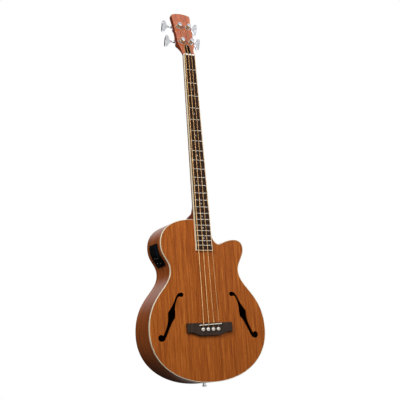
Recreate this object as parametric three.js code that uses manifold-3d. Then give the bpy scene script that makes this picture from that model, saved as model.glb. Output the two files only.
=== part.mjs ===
// An acoustic bass guitar with a rounded cutaway, two long sound holes and a preamp in its side.
// Millimetres. X is the width, with the thickest string on the minus side. Y is the depth, with the
// soundboard's front face at zero and the back on the plus side. Z runs up the neck from the saddle.

import * as THREE from "three";
import { mergeVertices } from "three/addons/utils/BufferGeometryUtils.js";
import Module from "manifold-3d";

const wasm = await Module();
wasm.setup();

// Room left between two pieces that touch, and how far a cutter runs past what it cuts
const seam = 0.3;
const overrun = 20;

// The body's outline, half by half, measured from the saddle line
const tailDrop = 170.5;
const lowerBoutWidth = 394.8;
const lowerBoutDrop = 16.5;
const waistWidth = 234;
const waistDrop = 159;
const upperBoutReach = 144.2;
const upperBoutDrop = 78;
const hornReach = 140;
const hornSideDrop = 91;
const hornTipReach = 112;
const hornTipDrop = 62.6;
const hollowReach = 55.4;
const hollowDrop = 76.9;
const neckSideReach = 30;
const neckSideDrop = 40;
const bodyRise = 325;

// The body's shell
const depthAtTail = 108;
const depthAtNeck = 100;
const topThickness = 3;
const backThickness = 3;
const sideThickness = 2.5;
const bindingThickness = 1.8;
const bindingDepth = 6;
const liningThickness = 6;
const liningDepth = 15;
const blockThickness = 52;
const neckBlockWidth = 88;
const tailBlockWidth = 76;
const tailBlockThickness = 18;

// The sound holes: their eyes, and the arm between them
const lowerEyeFromEdge = 37;
const lowerEyeDrop = 34.5;
const lowerEyeRadius = 10;
const eyesAcross = 75;
const eyesAlong = 127;
const upperEyeRadius = 7;

// Braces and the bridge plate
const toneBarWidth = 8;
const toneBarDepth = 14;
const toneBarTipDepth = 3;
const toneBarTaper = 30;
const toneBarDrop = 132;
const toneBarGap = 9.5;
const toneBarLowReach = 48;
const toneBarHighReach = 40;
const braceWidth = 9;
const braceDepth = 13;
const braceEndGap = 1.2;
const upperBraceDrop = 119;
const upperBackBraceDrop = 113;
const middleBackBraceRise = 118;
const lowerBackBraceDrop = 92;
const bridgePlateWidth = 66;
const bridgePlateRise = 9;
const bridgePlateDrop = 40;
const bridgePlateThickness = 3;

// Scale, fretboard and neck
const scaleLength = 863.6;
const fretCount = 22;
const boardThickness = 7.5;
const boardOverhang = 16.5;
const boardEndWidth = 56.5;
const nutWidth = 40;
const nutThickness = 5;
const nutProud = 2.6;
const boardBinding = 1.8;
const boardSeat = 0.5;
const neckLeanDegrees = 0.63;
const fretWidth = 2.4;
const fretHeight = 1.1;
const fretRoot = 0.6;
const shaftDepthAtNut = 14.5;
const shaftDepthAtHeel = 17;
const heelDepth = 90;
const heelCapThickness = 2;
const trussWidth = 6;
const trussDepth = 8;
const trussCover = 1.2;
const trussFromBody = 27;
const trussReach = 9;

// Headstock
const headLeanDegrees = 13.4;
const headThickness = 17;
const veneerThickness = 1.5;
const headLength = 163.5;
const headHalfWidth = 33.6;
const postAcross = 16.6;
const lowPostRise = 50;
const highPostRise = 109;
const coverLength = 38;
const coverBaseWidth = 18;
const coverTipWidth = 15;
const coverThickness = 2;
const coverStart = 1.2;

// Machine heads
const sleeveRadius = 6.2;
const washerRadius = 9;
const washerThickness = 2;
const postClearance = 0.25;
const postRadius = 5;
const postCapRadius = 7;
const postCapThickness = 2.6;
const plateLength = 40;
const plateWidth = 25;
const plateThickness = 1.8;
const gearThickness = 5;
const gearTeeth = 20;
const gearPitchRadius = 10.5;
const gearTipRadius = 11.3;
const gearRootRadius = 9.2;
const gearScrewRadius = 3.6;
const gearScrewHeight = 2;
const wormPitchRadius = 3.5;
const wormCoreRadius = 2.1;
const wormTipRadius = 4.3;
const wormTurns = 4;
const earThickness = 2.2;
const earWidth = 9;
const earSpread = 20;
const shaftRadius = 2.1;
const shaftClearance = 0.2;
const collarRadius = 4;
const collarLength = 5;
const buttonStart = 42.5;
const buttonLength = 21;
const buttonWidth = 38;
const buttonThickness = 6;
const buttonTiltDegrees = 36.7;

// Strings, from the thickest to the thinnest
const stringRadii = [1.33, 1.07, 0.83, 0.58];
const stringSpacingAtNut = 10.9;
const stringSpacingAtBridge = 17.4;
const stringAction = 1.8;
const ballRadius = 2.5;
const ballLength = 4;
const coilTurns = 2.1;
const coilGap = 1.1;

// Bridge, saddle and pins
const bridgeHalfWidth = 76.5;
const bridgeRise = 6;
const bridgeDrop = 23;
const bellyDrop = 33;
const bridgeHeight = 9;
const bridgeBevel = 2.5;
const saddleLength = 74.8;
const saddleThickness = 3;
const saddleSlot = 6.5;
const saddleProud = 6;
const saddleSlantDegrees = 2.76;
const pickupThickness = 1.6;
const pickupWidth = 2.4;
const pinDrop = 14;
const pinHeadRadius = 5.4;
const pinHeadHeight = 5;
const pinShankRadius = 3;
const pinTipRadius = 2.5;
const pinLength = 22;
const pinDotRadius = 1.6;
const pinDotDepth = 0.4;
const stringFromPin = 4.7;

// Jack in the tail, which is also the strap button
const jackDepth = 56;
const jackStemRadius = 5;
const jackFlangeRadius = 7.5;
const jackFlangeThickness = 2.5;
const jackTipLength = 2.2;
const jackStemLength = 6.5;
const jackBoreRadius = 3.3;
const jackBarrelRadius = 6;
const jackBarrelLength = 34;
const jackEndWall = 2;

// Preamp in the bass side, centred on the flank above the waist
const preampRise = 56;
const preampDepth = 51;
const panelLength = 74;
const panelWidth = 60;
const panelCorner = 6;
const panelProud = 2;
const panelRim = 4;
const panelPlug = 2;
const housingDepth = 24;
const batteryLength = 48.5;
const batteryWidth = 26.5;
const batteryThickness = 17.5;
const batteryRise = 17.5;
const batteryFromFront = 62.5;
const doorOverlap = 1.5;
const doorThickness = 1.6;
const doorHingeLift = 0.6;
const displayLength = 34;
const displayWidth = 11;
const displayRise = 15;
const displayFromFront = 35;
const displayThickness = 0.9;
const knobRadius = 5;
const knobHeight = 5;
const knobShaftRadius = 1.5;
const knobNotch = 1.1;
const knobRises = [-9, -25];
const knobsFromFront = [35, 52];
const switchRise = -8;
const switchFromFront = 67;
const switchRadius = 2.4;
const switchHeight = 1.6;
const switchTravel = 1;
const switchPocketDepth = 2.6;

// Where a wall hanger's fork carries the head, which is the model's origin
const hangerRise = 24;

// Shares: handles of the outline's curves, arms of the sound holes, slices of the heel and the head
const trebleBowShares = {
  lower: [0.57, 0.62],
  waist: [0.6, 0.3],
  hornSide: [0.35, 0.36],
  hornTip: [0.66, 0.56],
  hollow: [0.57, 0.17],
  neck: [0.46, 0.51],
};
const bassBowShares = { upper: [0.43, 0.52], neck: [0.69, 0.54] };
const armOuterHighShares = [
  [0.01, -0.054],
  [0.14, -0.03],
  [0.25, 0.045],
  [0.34, 0.15],
  [0.45, 0.265],
  [0.65, 0.42],
];
const armOuterLowShares = [[0.655, 0.54], [0.7, 0.68], [0.785, 0.81], [0.9, 0.94]];
const armInnerLowShares = [
  [0.985, 1.078],
  [0.865, 1.06],
  [0.765, 0.98],
  [0.66, 0.855],
  [0.555, 0.735],
  [0.46, 0.635],
];
const armInnerHighShares = [
  [0.33, 0.54],
  [0.308, 0.43],
  [0.308, 0.32],
  [0.262, 0.2],
  [0.195, 0.1],
  [0.125, 0.048],
  [0.01, 0.055],
];
const heelSliceShares = [
  { depth: 0.04, width: 0.98, length: 0.62 },
  { depth: 0.19, width: 0.96, length: 0.4 },
  { depth: 0.26, width: 0.94, length: 0.33 },
  { depth: 0.38, width: 0.91, length: 0.29 },
  { depth: 0.52, width: 0.87, length: 0.26 },
  { depth: 0.68, width: 0.82, length: 0.225 },
  { depth: 0.84, width: 0.74, length: 0.18 },
  { depth: 1, width: 0.64, length: 0.14 },
];
const headOutlineShares = [
  { across: 0.6, along: 0 },
  { across: 0.67, along: 0.13 },
  { across: 0.79, along: 0.2 },
  { across: 0.87, along: 0.262 },
  { across: 0.885, along: 0.36 },
  { across: 0.895, along: 0.62 },
  { across: 0.93, along: 0.77 },
  { across: 0.99, along: 0.91 },
  { across: 0.985, along: 0.94 },
  { across: 0.93, along: 0.962 },
  { across: 0.6, along: 0.985 },
  { across: 0.25, along: 0.997 },
];
const bellyShares = [[0.78, 0], [0.66, 0.32], [0.52, 0.76], [0.38, 0.97], [0.2, 1]];
const fretProfileShares = [[-0.5, 0], [-0.36, 0.7], [0, 1], [0.36, 0.7], [0.5, 0]];
const gearToothShares = { root: 0.45, tip: 0.25 };
const wormThreadShares = { root: 0.5, tip: 0.24 };
const buttonOutlineShares = [
  { across: 0.22, along: 0 },
  { across: 0.32, along: 0.22 },
  { across: 0.68, along: 0.38 },
  { across: 0.95, along: 0.58 },
  { across: 1, along: 0.76 },
  { across: 0.86, along: 0.93 },
  { across: 0.45, along: 1 },
];
const buttonRimShare = 0.9;
const shaftRoundShare = 0.8;
const heelRoundShare = 0.6;
const saddleCrownShare = 0.35;
const pinCrownShares = [0.6, 0.92];

// How finely curves are stepped
const bowSteps = { lower: 8, waist: 7, hornSide: 4, hornTip: 5, hollow: 5, neck: 5, upper: 6, shoulder: 7 };
const armSteps = 2;
const roundSteps = 16;
const smallRoundSteps = 12;
const shaftRingSteps = 10;
const heelRingSteps = 12;
const coilSteps = 24;
const stringSides = 6;
const wormSteps = 12;
const flankSteps = 8;
const cornerSteps = 3;

// Worked out
const frontward = new THREE.Vector3(0, -1, 0);
const lean = THREE.MathUtils.degToRad(neckLeanDegrees);
const headLean = THREE.MathUtils.degToRad(headLeanDegrees);
const fretRise = (number) => scaleLength * 2 ** (-number / 12);
const boardEndRise = fretRise(fretCount) - boardOverhang;
const innerInset = sideThickness + seam;
const liningInset = innerInset + liningThickness;
const braceInset = liningInset + braceEndGap;
const wormOffset = gearPitchRadius + wormPitchRadius;
const wormPitch = (2 * Math.PI * gearPitchRadius) / gearTeeth;
const strings = stringRadii.map((radius, order) => ({
  radius,
  order,
  nutX: stringSpacingAtNut * (order - (stringRadii.length - 1) / 2),
  bridgeX: stringSpacingAtBridge * (order - (stringRadii.length - 1) / 2),
}));

const finishes = {
  topWood: { color: 0xa9622c, roughness: 0.42, metalness: 0 },
  sideWood: { color: 0x7d3a1e, roughness: 0.35, metalness: 0 },
  neckWood: { color: 0x7a3420, roughness: 0.4, metalness: 0 },
  paleWood: { color: 0xc79a62, roughness: 0.8, metalness: 0 },
  darkWood: { color: 0x2b1a12, roughness: 0.55, metalness: 0 },
  cream: { color: 0xe9d8b4, roughness: 0.35, metalness: 0 },
  chrome: { color: 0xd8dadd, roughness: 0.12, metalness: 1 },
  steel: { color: 0x9a9ca0, roughness: 0.35, metalness: 1 },
  brass: { color: 0xb9975a, roughness: 0.35, metalness: 1 },
  bronze: { color: 0xc9a77a, roughness: 0.35, metalness: 1 },
  black: { color: 0x17181a, roughness: 0.4, metalness: 0 },
  glass: { color: 0x2b3f52, roughness: 0.1, metalness: 0 },
};
const materials = Object.fromEntries(
  Object.entries(finishes).map(([name, look]) => [name, new THREE.MeshStandardMaterial(look)]),
);

// Solids from geometries and back
function solidOf(geometry) {
  const bare = geometry.clone();
  bare.deleteAttribute("normal");
  bare.deleteAttribute("uv");
  const welded = mergeVertices(bare);
  const vertProperties = welded.attributes.position.array;
  const triVerts = new Uint32Array(welded.index.array);
  return new wasm.Manifold(new wasm.Mesh({ numProp: 3, vertProperties, triVerts }));
}

function geometryOf(solid) {
  const mesh = solid.getMesh();
  const geometry = new THREE.BufferGeometry();
  geometry.setAttribute("position", new THREE.BufferAttribute(mesh.vertProperties, 3));
  geometry.setIndex(new THREE.BufferAttribute(mesh.triVerts, 1));
  return geometry;
}

function cut(geometry, ...cutters) {
  return geometryOf(cutters.reduce((left, cutter) => left.subtract(solidOf(cutter)), solidOf(geometry)));
}

function join(geometry, ...others) {
  return geometryOf(others.reduce((left, other) => left.add(solidOf(other)), solidOf(geometry)));
}

function common(geometry, ...others) {
  return geometryOf(others.reduce((left, other) => left.intersect(solidOf(other)), solidOf(geometry)));
}

// A box between two corners
function box([x0, y0, z0], [x1, y1, z1]) {
  const geometry = new THREE.BoxGeometry(x1 - x0, y1 - y0, z1 - z0);
  return geometry.translate((x0 + x1) / 2, (y0 + y1) / 2, (z0 + z1) / 2);
}

// An outline of [x, z] points made as thick as the stretch of Y between front and back
function plate(points, front, back, hole) {
  const shape = new THREE.Shape(points.map(([x, z]) => new THREE.Vector2(x, z)));
  if (hole) shape.holes.push(new THREE.Path(hole.map(([x, z]) => new THREE.Vector2(x, z))));
  const geometry = new THREE.ExtrudeGeometry(shape, { depth: back - front, bevelEnabled: false });
  return geometry.rotateX(Math.PI / 2).translate(0, back, 0);
}

// An outline of [y, z] points made as wide as the stretch of X between left and right
function sidePlate(points, left, right) {
  const shape = new THREE.Shape(points.map(([y, z]) => new THREE.Vector2(y, z)));
  const geometry = new THREE.ExtrudeGeometry(shape, { depth: right - left, bevelEnabled: false });
  const frame = new THREE.Matrix4().makeBasis(
    new THREE.Vector3(0, 1, 0),
    new THREE.Vector3(0, 0, 1),
    new THREE.Vector3(1, 0, 0),
  );
  return geometry.applyMatrix4(frame).translate(left, 0, 0);
}

// A body of revolution about a line that starts at a point: profile holds [radius, distance] pairs
function turned(profile, start, direction, steps = roundSteps) {
  const outline = profile.map(([radius, along]) => new THREE.Vector2(radius, along));
  const geometry = new THREE.LatheGeometry(outline, steps);
  const upright = new THREE.Vector3(0, 1, 0);
  const turn = new THREE.Quaternion().setFromUnitVectors(upright, direction.clone().normalize());
  return geometry.applyQuaternion(turn).translate(start.x, start.y, start.z);
}

function rod(radius, start, end, steps = roundSteps) {
  const along = end.clone().sub(start);
  const reach = along.length();
  return turned([[0, 0], [radius, 0], [radius, reach], [0, reach]], start, along, steps);
}

// A closed skin over rings of points, all with the same count
function loft(rings) {
  const count = rings[0].length;
  const points = rings.flat();
  const faces = [];
  for (let ring = 0; ring + 1 < rings.length; ring += 1) {
    for (let step = 0; step < count; step += 1) {
      const here = ring * count + step;
      const next = ring * count + ((step + 1) % count);
      faces.push(here, next, next + count, here, next + count, here + count);
    }
  }
  const ends = [[0, 1], [rings.length - 1, 0]];
  for (const [ring, flip] of ends) {
    const total = rings[ring].reduce((sum, point) => sum.add(point), new THREE.Vector3());
    const middle = total.divideScalar(count);
    const hub = points.push(middle) - 1;
    for (let step = 0; step < count; step += 1) {
      const here = ring * count + step;
      const next = ring * count + ((step + 1) % count);
      faces.push(hub, flip ? next : here, flip ? here : next);
    }
  }
  return facingOut(points, faces);
}

// Turns a closed mesh's faces round if they point in
function facingOut(points, faces) {
  let volume = 0;
  for (let corner = 0; corner < faces.length; corner += 3) {
    const [a, b, c] = [points[faces[corner]], points[faces[corner + 1]], points[faces[corner + 2]]];
    volume += a.dot(b.clone().cross(c));
  }
  const order = volume < 0 ? faces.slice().reverse() : faces;
  const geometry = new THREE.BufferGeometry().setFromPoints(points);
  geometry.setIndex(order);
  return geometry;
}

// A round tube through points, with a radius at each
function tube(points, radii, sides) {
  const heading = points.map((point, place) => {
    const before = points[Math.max(place - 1, 0)];
    const after = points[Math.min(place + 1, points.length - 1)];
    return after.clone().sub(before).normalize();
  });
  let across = new THREE.Vector3(1, 0, 0);
  const rings = points.map((point, place) => {
    across = across.clone().addScaledVector(heading[place], -across.dot(heading[place])).normalize();
    const up = heading[place].clone().cross(across);
    return Array.from({ length: sides }, (unused, side) => {
      const angle = (2 * Math.PI * side) / sides;
      return point
        .clone()
        .addScaledVector(across, radii[place] * Math.cos(angle))
        .addScaledVector(up, radii[place] * Math.sin(angle));
    });
  });
  return loft(rings);
}

// Moves every side of a closed outline inwards, or outwards where the distance is below zero
function inset(points, distance) {
  const count = points.length;
  const area = points.reduce((sum, [x, z], place) => {
    const [nextX, nextZ] = points[(place + 1) % count];
    return sum + x * nextZ - nextX * z;
  }, 0);
  const turn = Math.sign(area);
  const inward = points.map(([x, z], place) => {
    const [nextX, nextZ] = points[(place + 1) % count];
    const reach = Math.hypot(nextX - x, nextZ - z);
    return [(-turn * (nextZ - z)) / reach, (turn * (nextX - x)) / reach];
  });
  return points.map(([x, z], place) => {
    const [ax, az] = inward[(place + count - 1) % count];
    const [bx, bz] = inward[place];
    const spread = 1 + ax * bx + az * bz;
    return [x + (distance * (ax + bx)) / spread, z + (distance * (az + bz)) / spread];
  });
}

// Outline of the body: curves between places where it runs straight up or straight across
function bow(start, end, leavesUpright, arrivesUpright, shares) {
  const [dx, dz] = [end[0] - start[0], end[1] - start[1]];
  const leave = leavesUpright ? [0, dz * shares[0]] : [dx * shares[0], 0];
  const arrive = arrivesUpright ? [0, dz * shares[1]] : [dx * shares[1], 0];
  return new THREE.CubicBezierCurve(
    new THREE.Vector2(...start),
    new THREE.Vector2(start[0] + leave[0], start[1] + leave[1]),
    new THREE.Vector2(end[0] - arrive[0], end[1] - arrive[1]),
    new THREE.Vector2(...end),
  );
}

const tail = [0, -tailDrop];
const lowerBout = [lowerBoutWidth / 2, -lowerBoutDrop];
const waist = [waistWidth / 2, bodyRise - waistDrop];
const hornSide = [hornReach, bodyRise - hornSideDrop];
const hornTip = [hornTipReach, bodyRise - hornTipDrop];
const hollow = [hollowReach, bodyRise - hollowDrop];
const neckSide = [neckSideReach, bodyRise - neckSideDrop];
const neckCorner = [neckSideReach, bodyRise];
const upperBout = [upperBoutReach, bodyRise - upperBoutDrop];
const lowerBow = bow(tail, lowerBout, false, true, trebleBowShares.lower);
const waistBow = bow(lowerBout, waist, true, true, trebleBowShares.waist);
const upperBow = bow(waist, upperBout, true, true, bassBowShares.upper);
const shoulderBow = bow(upperBout, neckCorner, true, false, bassBowShares.neck);
const trebleBows = [
  [lowerBow, bowSteps.lower],
  [waistBow, bowSteps.waist],
  [bow(waist, hornSide, true, true, trebleBowShares.hornSide), bowSteps.hornSide],
  [bow(hornSide, hornTip, true, false, trebleBowShares.hornTip), bowSteps.hornTip],
  [bow(hornTip, hollow, false, false, trebleBowShares.hollow), bowSteps.hollow],
  [bow(hollow, neckSide, false, true, trebleBowShares.neck), bowSteps.neck],
];
const bassBows = [
  [lowerBow, bowSteps.lower],
  [waistBow, bowSteps.waist],
  [upperBow, bowSteps.upper],
  [shoulderBow, bowSteps.shoulder],
];

function bowPoints(bows) {
  return bows.flatMap(([curve, steps]) => curve.getPoints(steps).slice(0, -1).map(({ x, y }) => [x, y]));
}

const treblePoints = [...bowPoints(trebleBows), neckSide, neckCorner];
const bassPoints = [...bowPoints(bassBows), neckCorner].map(([x, z]) => [-x, z]).reverse();
const bodyOutline = [...treblePoints, ...bassPoints.slice(0, -1)];

// The back leans: it is deeper at the tail than at the neck
const backLean = Math.atan2(depthAtTail - depthAtNeck, tailDrop + bodyRise);
const backGroup = new THREE.Group();
backGroup.position.set(0, depthAtTail, -tailDrop);
backGroup.rotation.x = backLean;
backGroup.updateMatrix();

// Behind a plane that lies inside the back's outer face by a distance
function behindBack(distance) {
  const wide = lowerBoutWidth + overrun;
  const block = box([-wide, -distance, -bodyRise], [wide, depthAtTail, 2 * (tailDrop + bodyRise)]);
  return block.applyMatrix4(backGroup.matrix);
}

function halfSpace(side) {
  const wide = lowerBoutWidth + overrun;
  const deep = depthAtTail + overrun;
  const edges = [side * (seam / 2), side * wide].sort((a, b) => a - b);
  return box([edges[0], -deep, -tailDrop - overrun], [edges[1], 2 * deep, bodyRise + overrun]);
}

// The four pins, each with its string beside it
const headRise = scaleLength + nutThickness;
const stringInHole = stringFromPin + seam;
const pinSlotEnd = pinHeadRadius + 4 * seam + 2 * stringRadii[0];

function pinHole({ bridgeX, radius }) {
  const hole = rod(
    pinShankRadius + seam,
    new THREE.Vector3(bridgeX, -bridgeHeight - overrun, -pinDrop),
    new THREE.Vector3(bridgeX, pinLength + overrun, -pinDrop),
    smallRoundSteps,
  );
  const wall = stringInHole + stringRadii[0] + seam;
  const ramp = bridgeHeight / 4;
  const slot = sidePlate(
    [
      [overrun, -pinDrop],
      [overrun, wall - pinDrop],
      [-ramp, wall - pinDrop],
      [-bridgeHeight + seam, pinSlotEnd - pinDrop],
      [-bridgeHeight - overrun, pinSlotEnd - pinDrop],
      [-bridgeHeight - overrun, -pinDrop],
    ],
    bridgeX - radius - seam,
    bridgeX + radius + seam,
  );
  return join(hole, slot);
}
const pinHoles = strings.map(pinHole);

// The sound holes: two round eyes and the arm with its notches
function soundHole(side) {
  const lowerReach = lowerBoutWidth / 2 - lowerEyeFromEdge;
  const upperReach = lowerReach - eyesAcross;
  const upperRise = eyesAlong - lowerEyeDrop;
  const place = ([u, v]) => new THREE.Vector2(upperReach + eyesAcross * u, upperRise - eyesAlong * v);
  const smooth = (shares) => {
    const curve = new THREE.SplineCurve(shares.map(place));
    return curve.getPoints((shares.length - 1) * armSteps);
  };
  const runs = [armOuterHighShares, armOuterLowShares, armInnerLowShares, armInnerHighShares];
  const arm = runs.flatMap(smooth);
  const outline = arm.map(({ x, y }) => [side * x, y]);
  const eye = (reach, rise, radius) =>
    rod(
      radius,
      new THREE.Vector3(side * reach, -overrun, rise),
      new THREE.Vector3(side * reach, overrun, rise),
      roundSteps,
    );
  return join(
    plate(outline, -overrun, overrun),
    eye(upperReach, upperRise, upperEyeRadius),
    eye(lowerReach, -lowerEyeDrop, lowerEyeRadius),
  );
}

// The flank that carries the preamp, by distance along it from the waist
const flank = new THREE.CurvePath();
flank.add(upperBow);
flank.add(shoulderBow);

function flankAt(distance) {
  const share = distance / flank.getLength();
  const point = flank.getPointAt(share);
  const heading = flank.getTangentAt(share);
  return {
    point: new THREE.Vector3(-point.x, 0, point.y),
    up: new THREE.Vector3(-heading.x, 0, heading.y),
    out: new THREE.Vector3(-heading.y, 0, -heading.x),
  };
}

// A strip that follows the flank, between two heights, two distances out of it and two depths
function flankStrip(low, high, near, far, front, back) {
  const walk = (offset) =>
    Array.from({ length: flankSteps + 1 }, (unused, step) => {
      const { point, out } = flankAt(preampRise + low + ((high - low) * step) / flankSteps);
      const spot = point.clone().addScaledVector(out, offset);
      return [spot.x, spot.z];
    });
  return plate([...walk(near), ...walk(far).reverse()], front, back);
}

// A straight-walled block along the flank's own direction at one height
function flankBlock(rise, fromFront, length, width, near, far) {
  const { point, up, out } = flankAt(preampRise + rise);
  const block = box([near, -width / 2, -length / 2], [far, width / 2, length / 2]);
  const frame = new THREE.Matrix4().makeBasis(out, frontward, up);
  frame.setPosition(point.x, fromFront, point.z);
  return block.applyMatrix4(frame);
}

// A prism with round corners that trims a strip on the flank
function roundedPrism(length, width, corner) {
  const { point, up, out } = flankAt(preampRise);
  const shape = new THREE.Shape();
  const [w, l] = [width / 2, length / 2];
  shape.moveTo(-w + corner, -l);
  shape.lineTo(w - corner, -l);
  shape.absarc(w - corner, -l + corner, corner, -Math.PI / 2, 0, false);
  shape.absarc(w - corner, l - corner, corner, 0, Math.PI / 2, false);
  shape.absarc(-w + corner, l - corner, corner, Math.PI / 2, Math.PI, false);
  shape.absarc(-w + corner, -l + corner, corner, Math.PI, 1.5 * Math.PI, false);
  const depth = 2 * housingDepth;
  const settings = { depth, bevelEnabled: false, curveSegments: cornerSteps };
  const geometry = new THREE.ExtrudeGeometry(shape, settings).translate(0, 0, -depth / 2);
  const frame = new THREE.Matrix4().makeBasis(frontward, up, out);
  frame.setPosition(point.x, preampDepth, point.z);
  return geometry.applyMatrix4(frame);
}

const guitar = new THREE.Group();
const bodyGroup = new THREE.Group();
guitar.add(bodyGroup);
bodyGroup.add(backGroup);

function add(group, name, geometry, material) {
  const mesh = new THREE.Mesh(geometry, material);
  mesh.name = name;
  group.add(mesh);
  return mesh;
}

// Soundboard and the binding round its edge
const soundboard = cut(
  plate(inset(bodyOutline, bindingThickness + seam), 0, topThickness),
  soundHole(-1),
  soundHole(1),
  ...pinHoles,
);
add(bodyGroup, "soundboard", soundboard, materials.topWood);
const bindingRing = plate(bodyOutline, 0, bindingDepth, inset(bodyOutline, bindingThickness));
add(bodyGroup, "top_binding", bindingRing, materials.cream);

// Sides, each bent from one strip that runs from the tail to the neck
const jackHole = rod(
  jackBarrelRadius + seam,
  new THREE.Vector3(0, jackDepth, -tailDrop - overrun),
  new THREE.Vector3(0, jackDepth, -tailDrop + tailBlockThickness + overrun),
);
const rimFront = bindingDepth + seam;
const rim = cut(
  plate(bodyOutline, rimFront, depthAtTail + overrun, inset(bodyOutline, sideThickness)),
  behindBack(backThickness + seam),
  jackHole,
);
const halfPanel = panelLength / 2;
const preampOpening = flankStrip(
  -halfPanel + panelRim,
  halfPanel - panelRim,
  overrun,
  -overrun,
  preampDepth - panelWidth / 2 + panelRim,
  preampDepth + panelWidth / 2 - panelRim,
);
add(bodyGroup, "bass_side", cut(common(rim, halfSpace(-1)), preampOpening), materials.sideWood);
add(bodyGroup, "treble_side", common(rim, halfSpace(1)), materials.sideWood);

// Blocks that join the sides at the neck and the tail
const inside = plate(inset(bodyOutline, innerInset), topThickness + seam, depthAtTail + overrun);
const roomInside = cut(inside, behindBack(backThickness + seam));
const blockDepth = depthAtTail + overrun;

function blockBox(width, low, high, grow) {
  return box([-width / 2 - grow, -overrun, low - grow], [width / 2 + grow, blockDepth, high + grow]);
}
const neckBlockBox = (grow) => blockBox(neckBlockWidth, bodyRise - blockThickness, bodyRise, grow);
const tailBlockBox = (grow) => blockBox(tailBlockWidth, -tailDrop, tailBlockThickness - tailDrop, grow);
add(bodyGroup, "neck_block", common(roomInside, neckBlockBox(0)), materials.paleWood);
add(bodyGroup, "tail_block", cut(common(roomInside, tailBlockBox(0)), jackHole), materials.paleWood);

// Linings that widen the glued edge, in front and behind
function liningRing(front, back) {
  return plate(inset(bodyOutline, innerInset), front, back, inset(bodyOutline, liningInset));
}

function liningHalves(ring, end) {
  const open = cut(ring, neckBlockBox(seam), tailBlockBox(seam));
  add(bodyGroup, `${end}_lining_bass`, common(open, halfSpace(-1)), materials.paleWood);
  add(bodyGroup, `${end}_lining_treble`, common(open, halfSpace(1)), materials.paleWood);
}
const frontLiningStart = topThickness + seam;
liningHalves(liningRing(frontLiningStart, frontLiningStart + liningDepth), "top");
const backLiningRing = cut(
  common(liningRing(rimFront, depthAtTail + overrun), behindBack(backThickness + seam + liningDepth)),
  behindBack(backThickness + seam),
);
liningHalves(backLiningRing, "back");

// Back plate
const leaningOutline = bodyOutline.map(([x, z]) => [x, (z + tailDrop) / Math.cos(backLean)]);
add(backGroup, "back_plate", plate(leaningOutline, -backThickness, 0), materials.sideWood);
const backBraceRises = {
  upper: bodyRise - upperBackBraceDrop,
  middle: middleBackBraceRise,
  lower: -lowerBackBraceDrop,
};
for (const [place, rise] of Object.entries(backBraceRises)) {
  const low = rise + tailDrop - braceWidth / 2;
  const front = -backThickness - seam - braceDepth;
  const bar = box([-lowerBoutWidth, front, low], [lowerBoutWidth, -backThickness - seam, low + braceWidth]);
  const room = plate(inset(leaningOutline, braceInset), -depthAtTail, 0);
  add(backGroup, `back_brace_${place}`, common(bar, room), materials.paleWood);
}

// Bars and plates glued behind the soundboard
const barFront = topThickness + seam;
const upperBraceRise = bodyRise - upperBraceDrop;
const toneBarRise = upperBraceRise - braceWidth / 2 - toneBarGap;

function toneBar(side) {
  const profile = [
    [0, -toneBarDrop],
    [toneBarTipDepth, -toneBarDrop],
    [toneBarDepth, -toneBarDrop + toneBarTaper],
    [toneBarDepth, toneBarRise - toneBarTaper],
    [toneBarTipDepth, toneBarRise],
    [0, toneBarRise],
  ];
  const splay = Math.atan2(toneBarLowReach - toneBarHighReach, toneBarDrop + toneBarRise);
  const middle = (toneBarLowReach + toneBarHighReach) / 2;
  const bar = sidePlate(profile, -toneBarWidth / 2, toneBarWidth / 2);
  return bar.rotateY(-side * splay).translate(side * middle, barFront, 0);
}
add(bodyGroup, "bass_tone_bar", toneBar(-1), materials.paleWood);
add(bodyGroup, "treble_tone_bar", toneBar(1), materials.paleWood);
const upperBar = box(
  [-upperBoutReach, barFront, upperBraceRise - braceWidth / 2],
  [upperBoutReach, barFront + braceDepth, upperBraceRise + braceWidth / 2],
);
const braceRoom = plate(inset(bodyOutline, braceInset), 0, depthAtTail);
add(bodyGroup, "upper_brace", common(upperBar, braceRoom), materials.paleWood);
const bridgePlate = box(
  [-bridgePlateWidth / 2, barFront, -bridgePlateDrop],
  [bridgePlateWidth / 2, barFront + bridgePlateThickness, bridgePlateRise],
);
add(bodyGroup, "bridge_plate", cut(bridgePlate, ...pinHoles), materials.paleWood);

// Bridge with its saddle slot and pin holes
const belly = bellyShares.map(([across, down]) => [
  across * bridgeHalfWidth,
  -bridgeDrop - down * (bellyDrop - bridgeDrop),
]);
const bridgeOutline = [
  [-bridgeHalfWidth, bridgeRise],
  [-bridgeHalfWidth, -bridgeDrop],
  ...belly.map(([x, z]) => [-x, z]),
  ...belly.slice().reverse(),
  [bridgeHalfWidth, -bridgeDrop],
  [bridgeHalfWidth, bridgeRise],
];
const bridgeFace = -bridgeHeight - seam;
const bridgeBlank = plate(bridgeOutline, bridgeFace + bridgeBevel, -seam);
const bridgeCrown = bridgeCap(bridgeOutline);

function bridgeCap(outline) {
  const level = (points, y) => points.map(([x, z]) => new THREE.Vector3(x, y, z));
  const narrow = inset(outline, bridgeBevel);
  return loft([
    level(outline, bridgeFace + 2 * bridgeBevel),
    level(outline, bridgeFace + bridgeBevel),
    level(narrow, bridgeFace),
  ]);
}
const saddleSlant = THREE.MathUtils.degToRad(saddleSlantDegrees);

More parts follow.
